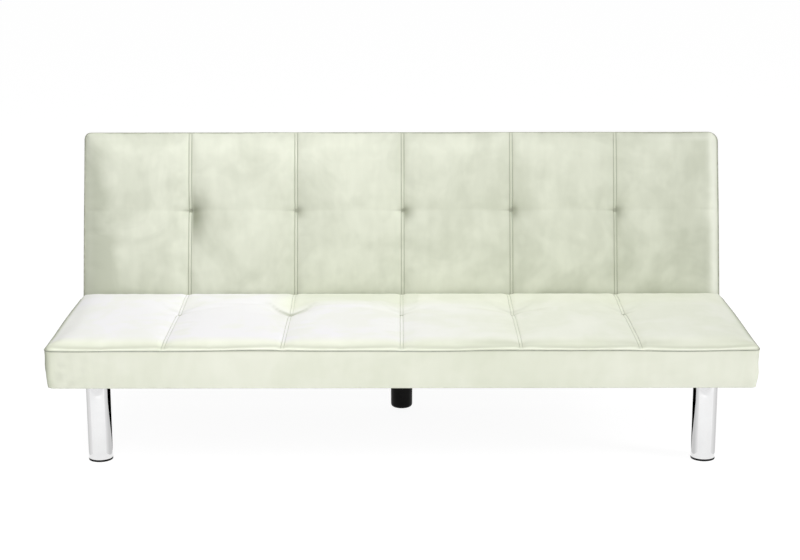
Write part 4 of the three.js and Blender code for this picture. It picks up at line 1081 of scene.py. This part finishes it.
def paintSeatLightAndShade(pad, x, along, high, border, onTop, sewn):  # painted light at the left; painted shade on the rounded front, to the right, near the hinge, along the side edges and at the left end
    look, ahead, right, up = seatLightAndShade, pad["length"] - along, -x / halfWidth, along / pad["length"]
    face = ramp(ahead, look["face"]["in"], look["face"]["span"])
    face = face * ramp(border, 0, look["face"]["border"]) * onTop
    # painted shade near the hinge, where the painted light is held back too
    rear = ramp(right, look["rear"]["across"], look["rear"]["span"])
    rear = rear * ramp(up, look["rear"]["up"], -look["rear"]["fall"])
    # painted light: the face is painted lighter towards the left, less in one patch and near the hinge
    pale = face * np.clip(look["pale"]["middle"] - look["pale"]["slope"] * right, look["pale"]["least"], 1)
    patch = look["lessLitPatch"]
    pale = pale * (1 - patch["share"] * bell(right - patch["across"], patch["acrossWide"])
                   * bell(up - patch["up"], patch["upWide"]))
    pale = pale * (1 - look["rear"]["pale"] * rear)
    # painted shade towards the right of the face, and on the band right of its middle
    lay = face * look["right"]["lay"] * ramp(right, look["right"]["across"], look["right"]["span"])
    lay = lay + (1 - face) * look["band"]["lay"] * bell(right - look["band"]["across"], look["band"]["wide"])
    # painted shade along the front roll
    front = bell(ahead - look["front"]["in"], look["front"]["wide"]) * onTop
    lay = lay + look["front"]["lay"] * front
    lay = lay + look["rear"]["lay"] * face * rear * (right < look["rear"]["end"])
    sideShadeLine = bell(halfWidth - np.abs(x), look["sideShadeLine"]["wide"])  # painted shade: the side edges show as thin dark lines
    sideShadeLine = sideShadeLine * (high > pad["thickness"] - look["sideShadeLine"]["drop"])
    # painted shade in a wavy band behind the front roll
    bend = look["bend"]
    bendShade = bell(ahead - bend["in"], bend["wide"]) * ramp(right, bend["across"], bend["span"]) * onTop
    bendShade = bendShade * (bend["dark"] + bend["wave"] * np.sin(bend["waves"] * x))
    leftEndShade = (1 - onTop) * ramp(along, look["leftEndShade"]["along"], look["leftEndShade"]["span"])  # painted shade on the band's left end, with painted wrinkles
    lay = lay + leftEndShade * bell(1 + right, look["leftEndShade"]["wide"])
    wrinkleShade = np.sin(95 * x + 2.0 * np.sin(60 * high)) * np.sin(130 * high + 31 * x)
    creased = look["wrinkleShade"]
    away = np.hypot(1 + right, creased["tall"] * (high - creased["high"]))
    wrinkleShade = creased["dark"] * np.clip(wrinkleShade, 0, 1) * np.exp(-away / creased["reach"])
    endShadeLine = bell(1 + right, look["leftEndShade"]["lineWide"])
    marks = [sewn, look["front"]["sewn"] * front, sideShadeLine, bendShade, leftEndShade * wrinkleShade, leftEndShade * endShadeLine]
    return np.maximum.reduce(marks), lay, pale, look["pale"]["rubbed"]


backLightAndShade = {
    "low": 0.36,
    "right": {"lay": 0.30, "across": -0.3, "span": 1.2, "curve": 1.3},
    "leftEdge": {"lay": 1.0, "across": -0.98, "wide": 0.06, "fade": 1.3},
    "topLeft": {"lay": -0.12, "across": -0.80, "up": 0.88, "wide": 0.10},
    "rightEdge": {"lay": -0.9, "across": 0.985, "wide": 0.016},
    "top": {"lay": 0.28, "wide": 0.02},
    "rubbed": {"least": 0.25, "slope": 4, "across": 0.75},
}


def paintBackLightAndShade(pad, x, along):  # painted shade low down, to the right, at the left edge and along the top; painted highlight at the top left and along the right edge
    look, right, up = backLightAndShade, x / halfWidth, along / pad["length"]
    lean, left, corner, rim = look["right"], look["leftEdge"], look["topLeft"], look["rightEdge"]
    lay = look["low"] * (1 - up) + lean["lay"] * ramp(right, lean["across"], lean["span"]) ** lean["curve"]
    lay = lay + left["lay"] * bell(right - left["across"], left["wide"]) * np.clip(left["fade"] - up, 0, 1)
    atCorner = bell(right - corner["across"], corner["wide"]) * bell(up - corner["up"], corner["wide"])
    lay = lay + corner["lay"] * atCorner
    lay = lay + rim["lay"] * bell(right - rim["across"], rim["wide"])
    lay = lay + look["top"]["lay"] * bell(pad["length"] - along, look["top"]["wide"])
    # rubbed edges, with a painted highlight that grows along the right edge
    worn = look["rubbed"]
    rubbed = np.clip(worn["least"] + worn["slope"] * (right - worn["across"]), worn["least"], 1)
    return lay, rubbed


def paintShadeAndWear(pad, skin):  # painted shade where the cover is creased and stitched, rubbed edges with a painted highlight, and painted light and shade across the pads
    x, along, high = pointsOf(skin).T
    top, welt, edge = markLook["top"], markLook["weltLine"], markLook["rubbed"]
    border = borderGap(pad, x, along)
    onTop = (high > pad["thickness"] - top["drop"]) | (border > top["within"])
    onTop = ramp(border, top["in"], top["span"]) * onTop
    # painted shade along the welt
    weltLine = bell(high - pad["thickness"], welt["tall"]) * bell(border - welt["in"], welt["wide"])
    sewn = np.maximum(seamAndTuftShade(pad, x, along, border) * onTop, weltLine * welt["dark"])
    if pad["name"] == "seat":
        sewn, lay, pale, rubbedAndLitShare = paintSeatLightAndShade(pad, x, along, high, border, onTop, sewn)
    else:
        pale, (lay, rubbedAndLitShare) = np.zeros(len(x)), paintBackLightAndShade(pad, x, along)
    # rubbed edges; on the back they carry a painted highlight along the right edge
    rubbed = bell(border - edge["in"], edge["wide"]) * onTop * rubbedAndLitShare
    marks = {"sewn": sewn, "rubbed": rubbed, "lay": np.clip(lay, -0.6, 1), "pale": pale}
    for name, values in marks.items():
        mark = skin.data.attributes.new(name, "FLOAT", "POINT")
        mark.data.foreach_set("value", values.astype(np.float32))


def finishPad(pad, body, replaced, notched):
    cushion = makePad(pad, notched)
    paintShadeAndWear(pad, cushion)
    stitches, welt = makeStitches(pad, cushion), makeWelt(pad)
    putInPad(pad, cushion, stitches, welt)
    smooth(paint(cushion, velvetCloth[pad["name"]]), 50)
    smooth(stitches, 80)
    smooth(welt, 80)
    deliver(cushion, body, replaced)
    deliver(stitches, body)
    deliver(welt, body)
    report(f"{pad['name']} cushion is sewn: {len(cushion.data.polygons)} faces")


finishPad(seatPad, "seat", ["seat_cover"], False)
finishPad(backPad, "backrest", ["back_cover"], True)

# Foam, webbing and linings below the covers, each made in its own pad's places

foamLook = {"round": 0.004, "dip": 0.0012, "dipReach": 0.05, "uneven": 0.6, "cell": 0.022}


def foamSlab(name, low, high, seed):  # a cut block, pressed a little hollow under the cover
    slab, cell = addBox(low, high), foamLook["cell"]
    slab.name = name
    bpy.ops.object.mode_set(mode="EDIT")
    for axis in (0, 1):
        for place in np.arange(low[axis] + cell, high[axis] - cell / 2, cell):
            point, normal = [0, 0, 0], [0, 0, 0]
            point[axis], normal[axis] = place, 1
            bpy.ops.mesh.select_all(action="SELECT")
            bpy.ops.mesh.bisect(plane_co=point, plane_no=normal)
    bpy.ops.object.mode_set(mode="OBJECT")
    for vertex in slab.data.vertices:
        x, y, z = vertex.co
        inside = max(0, min(x - low[0], high[0] - x, y - low[1], high[1] - y))
        if z > (low[2] + high[2]) / 2:
            wave = 1 + foamLook["uneven"] * math.sin(13 * x + seed) * math.sin(17 * y + 2 * seed)
            vertex.co.z -= foamLook["dip"] * wave * min(1, inside / foamLook["dipReach"])
    addBevel(slab, foamLook["round"], 3, 50)
    return smooth(paint(applyAll(slab), foamShade), 60)


hingeRoom = {"inner": 0.7602, "outer": 0.7840, "far": 0.1712, "past": 0.02}  # kept free in the back


def inHingeRoom(x, y):
    return hingeRoom["inner"] < abs(x) < hingeRoom["outer"] and y < hingeRoom["far"]


def hingeBoxes(high):
    inner, outer, far, past = hingeRoom.values()
    return [((low, -past, -past), (top, far, high)) for low, top in ((inner, outer), (-outer, -inner))]


liningLook = {"cell": 0.0125, "fold": 0.012, "foldGap": 0.0006, "thick": 0.0005, "sagCurve": 0.7,
              "uneven": 0.10, "wave": 0.0005, "puckerPitch": 0.058, "puckerIn": 0.02, "puckerReach": 0.05}


def bulge(value, low, high):  # 1 midway, 0 at both ends and outside
    return np.clip(1 - ((2 * value - low - high) / (high - low)) ** 2, 0, None)


def liningDrop(x, y, low, high, sag, bays):  # how far the cloth hangs in each bay, puckered near its staples
    look, drop = liningLook, np.zeros_like(x)
    for left, right, near, far in bays:
        hang = (bulge(x, left, right) * bulge(y, near, far)) ** look["sagCurve"]
        drop += sag * hang * (1 + look["uneven"] * np.sin(9 * x + 14 * y))
    border = np.minimum(np.minimum(x - low[0], high[0] - x), np.minimum(y - low[1], high[1] - y))
    pucker = np.cos(2 * math.pi * x / look["puckerPitch"]) * np.cos(2 * math.pi * y / look["puckerPitch"])
    pucker = pucker * np.clip(border / look["puckerIn"], 0, 1) * np.exp(-border / look["puckerReach"])
    return drop + look["wave"] * pucker * (drop > 0)


def foldShift(value, low, high, inward):  # along a border the fold keeps clear of both corners, as a mitre
    fold = liningLook["fold"]
    if inward:
        return inward * fold
    near = min(1, min(abs(value - low), abs(value - high)) / fold)
    return (1 - near) * fold * np.sign(low + high - 2 * value)


def makeLining(name, low, high, sag, bays, notched):  # a cloth with its border folded in, hung a little
    look = liningLook
    stopsX, stopsY = [low[0], high[0]], [low[1], high[1]]
    if notched:
        stopsX += [side * hingeRoom[key] for side in (-1, 1) for key in ("inner", "outer")]
        stopsY.append(hingeRoom["far"])
    xs, ys = evenly(sorted(stopsX), look["cell"]), evenly(sorted(stopsY), look["cell"])
    x, y = np.meshgrid(xs, ys)
    drop = liningDrop(x, y, low, high, sag, bays)
    points = np.stack([x, y, low[2] + look["thick"] - drop], -1).reshape(-1, 3).tolist()
    order = np.arange(x.size).reshape(x.shape)
    faces = []
    for face in gridFaces(order):
        (nearX, nearY), (farX, farY) = points[face[0]][:2], points[face[2]][:2]
        if not (notched and inHingeRoom((nearX + farX) / 2, (nearY + farY) / 2)):
            faces.append(face)
    rows = {(0, 1): order[0, :], (0, -1): order[-1, ::-1], (1, 0): order[::-1, 0], (-1, 0): order[:, -1]}
    for (inX, inY), row in rows.items():  # the folded border, by the way that it folds
        if notched and inY == 1:
            row = [k for k in row if not inHingeRoom(*points[k][:2])]
        base, row = len(points), [int(k) for k in row]
        for k in row:
            px, py, pz = points[k]
            shiftX, shiftY = foldShift(px, low[0], high[0], inX), foldShift(py, low[1], high[1], inY)
            points.append([px, py, pz + look["foldGap"]])
            points.append([px + shiftX, py + shiftY, pz + look["foldGap"]])
        for k, (first, second) in enumerate(zip(row, row[1:])):
            if abs(points[first][0] - points[second][0]) > 1.5 * look["cell"]:
                continue  # the hinge's room lies between them
            a = base + 2 * k
            faces += [[second, first, a, a + 2], [a + 2, a, a + 1, a + 3]]
    sheet = addWall(meshPiece(name, points, faces), look["thick"])
    return smooth(paint(sheet, liningShade), 45)


stapleLook = {"pitch": 0.058, "inset": 0.0065, "crown": 0.0098, "wire": 0.0005, "leg": 0.0012, "bend": 0.0004,
              "acrossStart": 0.03, "acrossEnd": 0.02, "alongStart": 0.04, "alongEnd": 0.03, "slant": 7}


def makeStaples(name, low, high, free):  # one staple bent from wire, copied round the border of a lining
    look = stapleLook
    half, bend, below = look["crown"] / 2, look["bend"], low[2] - look["wire"] * 0.8
    path = [(-half, 0, look["leg"]), (-half, 0, bend), (-half + bend, 0, 0), (half - bend, 0, 0),
            (half, 0, bend), (half, 0, look["leg"])]
    points, faces = takeShape(tubeAlong("staple", path, look["wire"] / 2, 1))
    places = []
    for x in np.arange(low[0] + look["acrossStart"], high[0] - look["acrossEnd"], look["pitch"]):
        places += [(x, low[1] + look["inset"], 0), (x, high[1] - look["inset"], 0)]
    for y in np.arange(low[1] + look["alongStart"], high[1] - look["alongEnd"], look["pitch"]):
        places += [(low[0] + look["inset"], y, 90), (high[0] - look["inset"], y, 90)]
    allPoints, allFaces = [], []
    for x, y, turn in places:
        if not free(x, y):
            continue
        lean = math.radians(turn + look["slant"] * math.sin(57 * x + 31 * y))
        cosine, sine = math.cos(lean), math.sin(lean)
        spin = np.array([[cosine, sine, 0], [-sine, cosine, 0], [0, 0, 1]])
        allFaces += [[len(allPoints) * len(points) + k for k in face] for face in faces]
        allPoints.append(points @ spin + (x, y, below))
    return smooth(paint(meshPiece(name, np.concatenate(allPoints), allFaces), zincShade), 60)


strapLook = {"wide": 0.06, "fold": 0.03, "folded": 0.9, "cell": 0.012, "rows": 7, "crown": 0.0002,
             "low": 0.0368, "high": 0.0383,
             "places": {"lower": 0.40, "upper": 0.72}}  # as shares of the back's length


def makeStrap(name, low, high):  # elastic webbing pulled flat, with both ends folded under for their staples
    look, fold, thick = strapLook, strapLook["fold"], (high[2] - low[2]) / 2
    xs = evenly([low[0], low[0] + fold, high[0] - fold, high[0]], look["cell"])
    ys = np.linspace(low[1], high[1], look["rows"])
    crown = [look["crown"] * math.cos(2 * math.pi * (y - low[1]) / (high[1] - low[1])) for y in ys]
    points = [[x, y, high[2] - lift] for x in xs for y, lift in zip(ys, crown)]
    wide, under = len(ys), low[2] + thick * look["folded"]
    faces = [[r * wide + c, (r + 1) * wide + c, (r + 1) * wide + c + 1, r * wide + c + 1]
             for r in range(len(xs) - 1) for c in range(wide - 1)]
    for row, inward in ((0, 1), (len(xs) - 1, -1)):
        base = len(points)
        for x in (xs[row], xs[row] + inward * fold * look["folded"]):
            points += [[x, y, under] for y in ys]
        for c in range(wide - 1):
            side = [row * wide + c, row * wide + c + 1, base + c + 1, base + c]
            flap = [base + c, base + c + 1, base + wide + c + 1, base + wide + c]
            faces += [face[::inward] for face in (side, flap)]
    strap = addWall(meshPiece(name, points, faces), thick * 0.8)
    return smooth(paint(strap, webbingShade), 45)


def fromWorld(pad, node):  # a node's box in the places of its pad
    corners = [pad["place"].inverted() @ Vector(corner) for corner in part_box(node)]
    return [min(pair) for pair in zip(*corners)], [max(pair) for pair in zip(*corners)]


seatSlab = foamSlab("seat_foam_slab", *fromWorld(seatPad, "seat_foam"), 3)
putInPad(seatPad, seatSlab)
deliver(seatSlab, "seat", ["seat_foam"])

backInside = {"side": 0.8282, "near": 0.0083, "far": 0.4787, "foamLow": 0.0386, "foamHigh": 0.0577}
nutRoom = {"middle": 0.79, "half": 0.012, "near": 0.025, "far": 0.055, "low": 0.02, "high": 0.056}
backSlab = foamSlab("back_foam_slab", (-backInside["side"], backInside["near"], backInside["foamLow"]),
                    (backInside["side"], backInside["far"], backInside["foamHigh"]), 5)
nutBoxes = [((middle - nutRoom["half"], nutRoom["near"], nutRoom["low"]),
             (middle + nutRoom["half"], nutRoom["far"], nutRoom["high"]))
            for middle in (-nutRoom["middle"], nutRoom["middle"])]
carve(backSlab, hingeBoxes(0.08) + nutBoxes)
putInPad(backPad, backSlab)
deliver(backSlab, "backrest", ["back_foam"])

edge, sagLook = liningLook["fold"], {"seat": 0.0045, "back": 0.0032}
lineLow, lineHigh = fromWorld(seatPad, "seat_dust_cover")
seatBays = [(-0.7315, -0.0225, 0.0536, 0.4604), (0.0225, 0.7315, 0.0536, 0.4604)]  # left, right, near and far
dustCover = makeLining("seat_dust_cloth", lineLow, lineHigh, sagLook["seat"], seatBays, False)


stapleFree = {"railMiddle": 0.754, "railHalf": 0.030, "plateHalf": 0.045, "plateEnd": 0.08,
              "hingeMiddle": 0.772, "hingeHalf": 0.020, "hingeEnd": 0.18}


def offBase(x, y):  # no staple where a base rail or the centre leg's plate lies against the cloth
    offRail = abs(abs(x) - stapleFree["railMiddle"]) > stapleFree["railHalf"]
    return offRail and not (abs(x) < stapleFree["plateHalf"] and y < stapleFree["plateEnd"])


seatStaples = makeStaples("seat_staples", lineLow, lineHigh, offBase)
putInPad(seatPad, dustCover, seatStaples)
deliver(dustCover, "seat", ["seat_dust_cover"])
deliver(seatStaples, "seat")

clothLow = (-backInside["side"], backInside["near"], 0.0)
clothHigh = (backInside["side"], backInside["far"], 0.0012)
backBays = [(-0.7157, -0.0225, 0.0536, 0.4334), (0.0225, 0.7157, 0.0536, 0.4334)]
backLining = makeLining("back_lining", clothLow, clothHigh, sagLook["back"], backBays, True)


def offHinge(x, y):
    return abs(abs(x) - stapleFree["hingeMiddle"]) > stapleFree["hingeHalf"] or y > stapleFree["hingeEnd"]


backStaples = makeStaples("back_staples", clothLow, clothHigh, offHinge)
putInPad(backPad, backLining, backStaples)
deliver(backLining, "backrest", ["back_cloth"])
deliver(backStaples, "backrest")

strapWide, strapLong = strapLook["wide"], 2 * backInside["side"] + 2 * strapLook["fold"] * strapLook["folded"]
for name, share in strapLook["places"].items():
    middle = share * backPad["length"]
    strap = makeStrap(f"back_webbing_{name}", (-backInside["side"], middle - strapWide / 2, strapLook["low"]),
                      (backInside["side"], middle + strapWide / 2, strapLook["high"]))
    putInPad(backPad, strap)
    deliver(strap, "backrest", [f"back_strap_{name}"])
report("foam, linings and webbing are in place")

# Rigid pieces that show, modelled finely over the places of their plain solids

def addDrum(name, radius, low, high, place, sides=64):
    clearSelection()
    bpy.ops.mesh.primitive_cylinder_add(vertices=sides, radius=radius, depth=high - low,
                                        location=(place[0], place[1], (low + high) / 2))
    drum = bakePlace(bpy.context.object)
    drum.name = name
    return drum


def pickFaces(piece, wanted):  # opens edit mode with only the wanted faces selected
    pickOnly(piece)
    bpy.ops.object.mode_set(mode="EDIT")
    bpy.ops.mesh.select_mode(type="FACE")
    bpy.ops.mesh.select_all(action="DESELECT")
    bpy.ops.object.mode_set(mode="OBJECT")
    for face in piece.data.polygons:
        face.select = bool(wanted(face.center, face.normal))
    bpy.ops.object.mode_set(mode="EDIT")


def lookingUp(above):
    return lambda middle, normal: normal.z > 0.9 and middle.z > above


def lookingDown(below):
    return lambda middle, normal: normal.z < -0.9 and middle.z < below


def insetThenMove(inset, height):  # the picked faces drawn in, then moved up, or down when negative
    bpy.ops.mesh.inset(thickness=inset)
    bpy.ops.mesh.extrude_region_move(TRANSFORM_OT_translate={"value": (0, 0, height)})


def softenEdges(piece, width, segments=2):
    bpy.ops.object.mode_set(mode="OBJECT")
    addBevel(piece, width, segments, 35)
    return smooth(applyAll(piece), 30)


def copyTo(piece, name, fromNode, toNode):
    twin = piece.copy()
    twin.data = piece.data.copy()
    twin.name = name
    bpy.context.scene.collection.objects.link(twin)
    twin.data.transform(Matrix.Translation(middleOf(toNode) - middleOf(fromNode)))
    twin.data.update()
    return twin


legLook = {"sides": 72, "wall": 0.0015, "rim": 0.0004, "slotSide": 0.0208, "slotGap": 0.0008,
           "saddle": 0.1864, "past": 0.01}


def makeLeg(name, node):  # a tube whose top is slotted over its base rail
    look, (low, high, middle) = legLook, boxOf(node)
    leg = addDrum(name, (high.x - low.x) / 2, low.z, high.z, middle, look["sides"])
    pickFaces(leg, lambda place, normal: abs(normal.z) > 0.9)
    bpy.ops.mesh.inset(thickness=look["wall"])
    bpy.ops.mesh.delete(type="FACE")
    bpy.ops.mesh.select_mode(type="EDGE")
    bpy.ops.mesh.select_all(action="DESELECT")
    bpy.ops.mesh.select_non_manifold()
    bpy.ops.mesh.bridge_edge_loops()
    bpy.ops.mesh.select_all(action="SELECT")
    bpy.ops.mesh.normals_make_consistent(inside=False)
    bpy.ops.object.mode_set(mode="OBJECT")
    slotFront = max(low.y - look["past"], boxOf("left_base_rail")[0].y - look["slotGap"])
    carve(leg, [((middle.x - look["slotSide"], slotFront, look["saddle"]),
                 (middle.x + look["slotSide"], high.y + look["past"], high.z + look["past"]))])
    return paint(softenEdges(leg, look["rim"]), chromeShade)


for end in ("front", "rear"):  # both are made before either hides the solid that it stands for
    first = makeLeg(f"{end}_left_chrome_leg", f"{end}_left_leg")
    second = copyTo(first, f"{end}_right_chrome_leg", f"{end}_left_leg", f"{end}_right_leg")
    deliver(first, "seat", [f"{end}_left_leg"])
    deliver(second, "seat", [f"{end}_right_leg"])

capLook = {"rim": 0.005, "plugInset": 0.0018, "edge": 0.00066, "soleInset": 0.0075, "soleDepth": 0.0016,
           "soleStep": 0.00112}


def makeCap(name, node):  # a pressed-in foot: a rim under the tube, a plug inside it, a hollow sole
    look, (low, high, middle) = capLook, boxOf(node)
    cap = addDrum(name, (high.x - low.x) / 2, low.z, look["rim"], middle)
    pickFaces(cap, lookingUp(look["rim"] - 0.001))
    insetThenMove(look["plugInset"], high.z - look["rim"])
    pickFaces(cap, lookingDown(0.001))
    insetThenMove(look["soleInset"], look["soleDepth"])
    insetThenMove(look["soleInset"], -look["soleStep"])
    return paint(softenEdges(cap, look["edge"], 3), plasticShade)


caps = {"front_left": makeCap("front_left_foot", "front_left_foot_cap")}
for spot in ("front_right", "rear_left", "rear_right"):
    caps[spot] = copyTo(caps["front_left"], f"{spot}_foot", "front_left_foot_cap", f"{spot}_foot_cap")
for spot, cap in caps.items():
    deliver(cap, "seat", [f"{spot}_foot_cap"])

centreLook = {"footShare": 0.967, "round": 0.0085, "soleInset": 0.008, "soleDepth": 0.003, "bore": 0.0055,
              "boreDeep": 0.030, "edge": 0.0005}


def makeCentreLeg():  # a moulded leg, drawn in towards a rounded foot
    look, (low, high, middle) = centreLook, boxOf("centre_leg")
    radius, share = (high.x - low.x) / 2, look["footShare"]
    leg = addDrum("centre_support_leg", radius, low.z, high.z, middle)
    pickFaces(leg, lookingDown(low.z + 0.001))
    bpy.ops.transform.resize(value=(share, share, 1), center_override=(middle.x, middle.y, low.z))
    bpy.ops.mesh.bevel(offset=look["round"], segments=6, affect="EDGES")
    pickFaces(leg, lookingDown(low.z + 0.0002))
    insetThenMove(look["soleInset"], look["soleDepth"])
    pickFaces(leg, lookingUp(high.z - 0.001))
    insetThenMove(radius - look["bore"], -look["boreDeep"])
    return paint(softenEdges(leg, look["edge"]), plasticShade)


deliver(makeCentreLeg(), "seat", ["centre_leg"])

bumperLook = {"rim": 0.0006, "wellInset": 0.0085, "wellDeep": 0.0014, "screw": 0.0036, "screwLow": 0.0021,
              "screwHigh": 0.0007, "screwEdge": 0.00025, "slotHalf": 0.0005, "slotLow": 0.0012, "past": 0.01}


def makeBumper(node):  # a rubber pad with a sunk, slotted screw
    look, (low, high, middle) = bumperLook, boxOf(node)
    pad = addDrum(node + "_pad", (high.x - low.x) / 2, low.z, high.z, middle, 48)
    pickFaces(pad, lookingUp(high.z - 0.001))
    insetThenMove(look["wellInset"], -look["wellDeep"])
    softenEdges(pad, look["rim"])
    bottom, top = high.z - look["screwLow"], high.z - look["screwHigh"]
    screw = addDrum(node + "_screw", look["screw"], bottom, top, middle, 32)
    carve(screw, [((middle.x - look["slotHalf"], middle.y - look["past"], high.z - look["slotLow"]),
                   (middle.x + look["slotHalf"], middle.y + look["past"], high.z + look["past"]))])
    return paint(pad, rubberShade), paint(softenEdges(screw, look["screwEdge"]), zincShade)


bumpers = {"left": makeBumper("left_bumper")}
for spot in ("centre", "right"):
    bumpers[spot] = [copyTo(piece, piece.name.replace("left", spot), "left_bumper", f"{spot}_bumper")
                     for piece in bumpers["left"]]
for spot, (rubberPad, screw) in bumpers.items():
    deliver(rubberPad, "seat", [f"{spot}_bumper"])
    deliver(screw, "seat")

springLook = {  # from the pawl's tail to the hook on the bracket, in the back pad's places
    "x": 0.7708, "from": (0.10230, 0.03992), "to": (0.11300, 0.00900), "dropped": (0.10200, 0.03700),
    "coil": 0.0024, "wire": 0.00050, "turns": 14, "pitch": 0.00128, "loop": 0.00262, "neck": 0.0022,
    "drawnIn": 0.15, "steps": 16, "loopTurn": 300, "fromAngle": 60, "toAngle": -180,
}


def springSpot(side, key):
    return Vector((side * springLook["x"], *springLook[key]))


def springPath(side):
    look, start, end = springLook, springSpot(side, "from"), springSpot(side, "to")
    way, aside = (end - start).normalized(), Vector((1, 0, 0))
    flat, middle = way.cross(aside), (start + end) / 2
    body, steps, count = look["turns"] * look["pitch"], look["steps"], look["turns"] * look["steps"]

    def loop(centre, firstAngle):  # open at the coil's side
        turns = [math.radians(firstAngle + look["loopTurn"] * k / steps) for k in range(steps + 1)]
        return [centre + look["loop"] * (way * math.cos(turn) + flat * math.sin(turn)) for turn in turns]

    coil = []
    for k in range(count + 1):  # its first and last half turns draw in towards the necks
        turn, swell = 2 * math.pi * k / steps, min(1, k * 2 / steps, (count - k) * 2 / steps)
        radial = look["coil"] * (look["drawnIn"] + (1 - look["drawnIn"]) * swell)
        radial = radial * (aside * math.cos(turn) + flat * math.sin(turn))
        coil.append(middle + way * (look["pitch"] * k / steps - body / 2) + radial)
    neck = way * (body / 2 + look["neck"])
    upper, lower = loop(start, look["fromAngle"]), loop(end, look["toAngle"])
    return upper + [middle - neck] + coil + [middle + neck] + lower


for part, side in (("left", -1), ("right", 1)):
    spring = tubeAlong(f"{part}_pull_spring", springPath(side), springLook["wire"], 1)
    putInPad(backPad, smooth(paint(spring, springShade), 70))
    deliver(spring, "backrest", [f"{part}_pawl_spring"])
    hook, tail, dropped = (backPad["place"] @ springSpot(side, key) for key in ("to", "from", "dropped"))
    pull = dropped - tail
    share = pull.length / (hook - tail).dot(pull.normalized())  # how much of the pawl's drop pulls along the spring; nothing uses it
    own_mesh(spring)
report("bumpers and pawl springs are in place")

# Cards that only the polished legs see: a dark wedge and a soft grey inside, a soft grey outside

cardLook = {  # outlines from the middle of a leg: y, z; soft greys run from white to a tone along y
    "aside": 0.045, "darkAside": 0.0445, "low": 0.002, "high": 0.200, "far": 0.150,
    "dark": [(-0.012, 0.200), (-0.012, 0.150), (-0.0055, 0.114), (0.0030, 0.079), (0.0200, 0.044),
             (0.040, 0.002), (0.150, 0.002), (0.150, 0.200)],
    "inner": {"from": -0.036, "to": -0.010, "tone": 0.70},
    "outer": {"from": -0.033, "to": 0.008, "tone": 0.68},
}


def cardPaint(name, start, end, tone):
    material, tree = newMaterial(name)
    place = addNode(tree, "ShaderNodeTexCoord").outputs["Object"]
    along = addNode(tree, "ShaderNodeSeparateXYZ", Vector=place).outputs["Y"]
    shade = addNode(tree, "ShaderNodeEmission", Color=grey(tree, spread(tree, along, start, end, 1.0, tone)))
    tree.links.new(shade.outputs[0], addNode(tree, "ShaderNodeOutputMaterial").inputs["Surface"])
    return material


def makeCard(name, x, outline, shade):
    card = paint(meshPiece(name, [(x, y, z) for y, z in outline], [list(range(len(outline)))]), shade)
    card.visible_camera = card.visible_diffuse = card.visible_shadow = card.visible_transmission = False


def standCards(part, side):
    spot = middleOf(f"front_{part}_leg")
    low, high, far = cardLook["low"], cardLook["high"], spot.y + cardLook["far"]
    for kind, inward in (("inner", 1), ("outer", -1)):
        look = cardLook[kind]
        near, end = spot.y + look["from"], spot.y + look["to"]
        makeCard(f"{part}{kind}Card", spot.x - side * inward * cardLook["aside"],
                 [(near, high), (near, low), (far, low), (far, high)],
                 cardPaint(f"{part}{kind}Grey", near, end, look["tone"]))
    wedge = [(spot.y + y, z) for y, z in cardLook["dark"]]
    makeCard(f"{part}DarkCard", spot.x - side * cardLook["darkAside"], wedge,
             cardPaint(f"{part}Dark", -1, -0.9, 0.0))


standCards("left", -1)
standCards("right", 1)
report("legs, feet and cards are in place")

# Carried-over solids that are right get a better finish; their shapes stay

def namesWith(*ends):
    return [name for name in cad if name.endswith(ends)]


cadFinish = {
    pineAcross: namesWith("front_rail", "seat_rear_rail", "top_rail", "bottom_rail"),
    pineAlong: namesWith("left_rail", "right_rail", "centre_rail", "inner_rail", "bearer"),
    springShade: namesWith("spring_1", "spring_2", "spring_3", "spring_4"),
    powderShade: namesWith("base_rail", "cross_bar"),
    plasticShade: namesWith("rail_plug"),
    zincShade: namesWith("seat_bracket", "back_bracket", "pivot_bolt", "pivot_nut", "pawl", "leg_plate"),
}
for shade, names in cadFinish.items():
    for name in names:
        for place in range(len(cad[name].material_slots)):
            cad[name].material_slots[place].material = shade
        if not cad[name].material_slots:
            cad[name].data.materials.append(shade)

trimLook = {"weld": 0.00001, "plates": 0.00035, "fasteners": 0.00030, "angle": 38}


def weldPoints(solid):
    solid.modifiers.new("weld", "WELD").merge_threshold = trimLook["weld"]


def trimEdges(names, width):  # worn arrises on carried-over solids, whose meshes stay as they are
    for name in names:
        weldPoints(cad[name])
        addBevel(cad[name], width, 2, trimLook["angle"])


trimEdges(namesWith("seat_bracket", "back_bracket", "_pawl"), trimLook["plates"])
trimEdges(namesWith("pivot_bolt", "pivot_nut", "leg_plate", "rail_plug"), trimLook["fasteners"])
for name in cadFinish[springShade]:  # rounder wire
    weldPoints(cad[name])
    fine = cad[name].modifiers.new("fine", "SUBSURF")
    fine.levels = fine.render_levels = 1
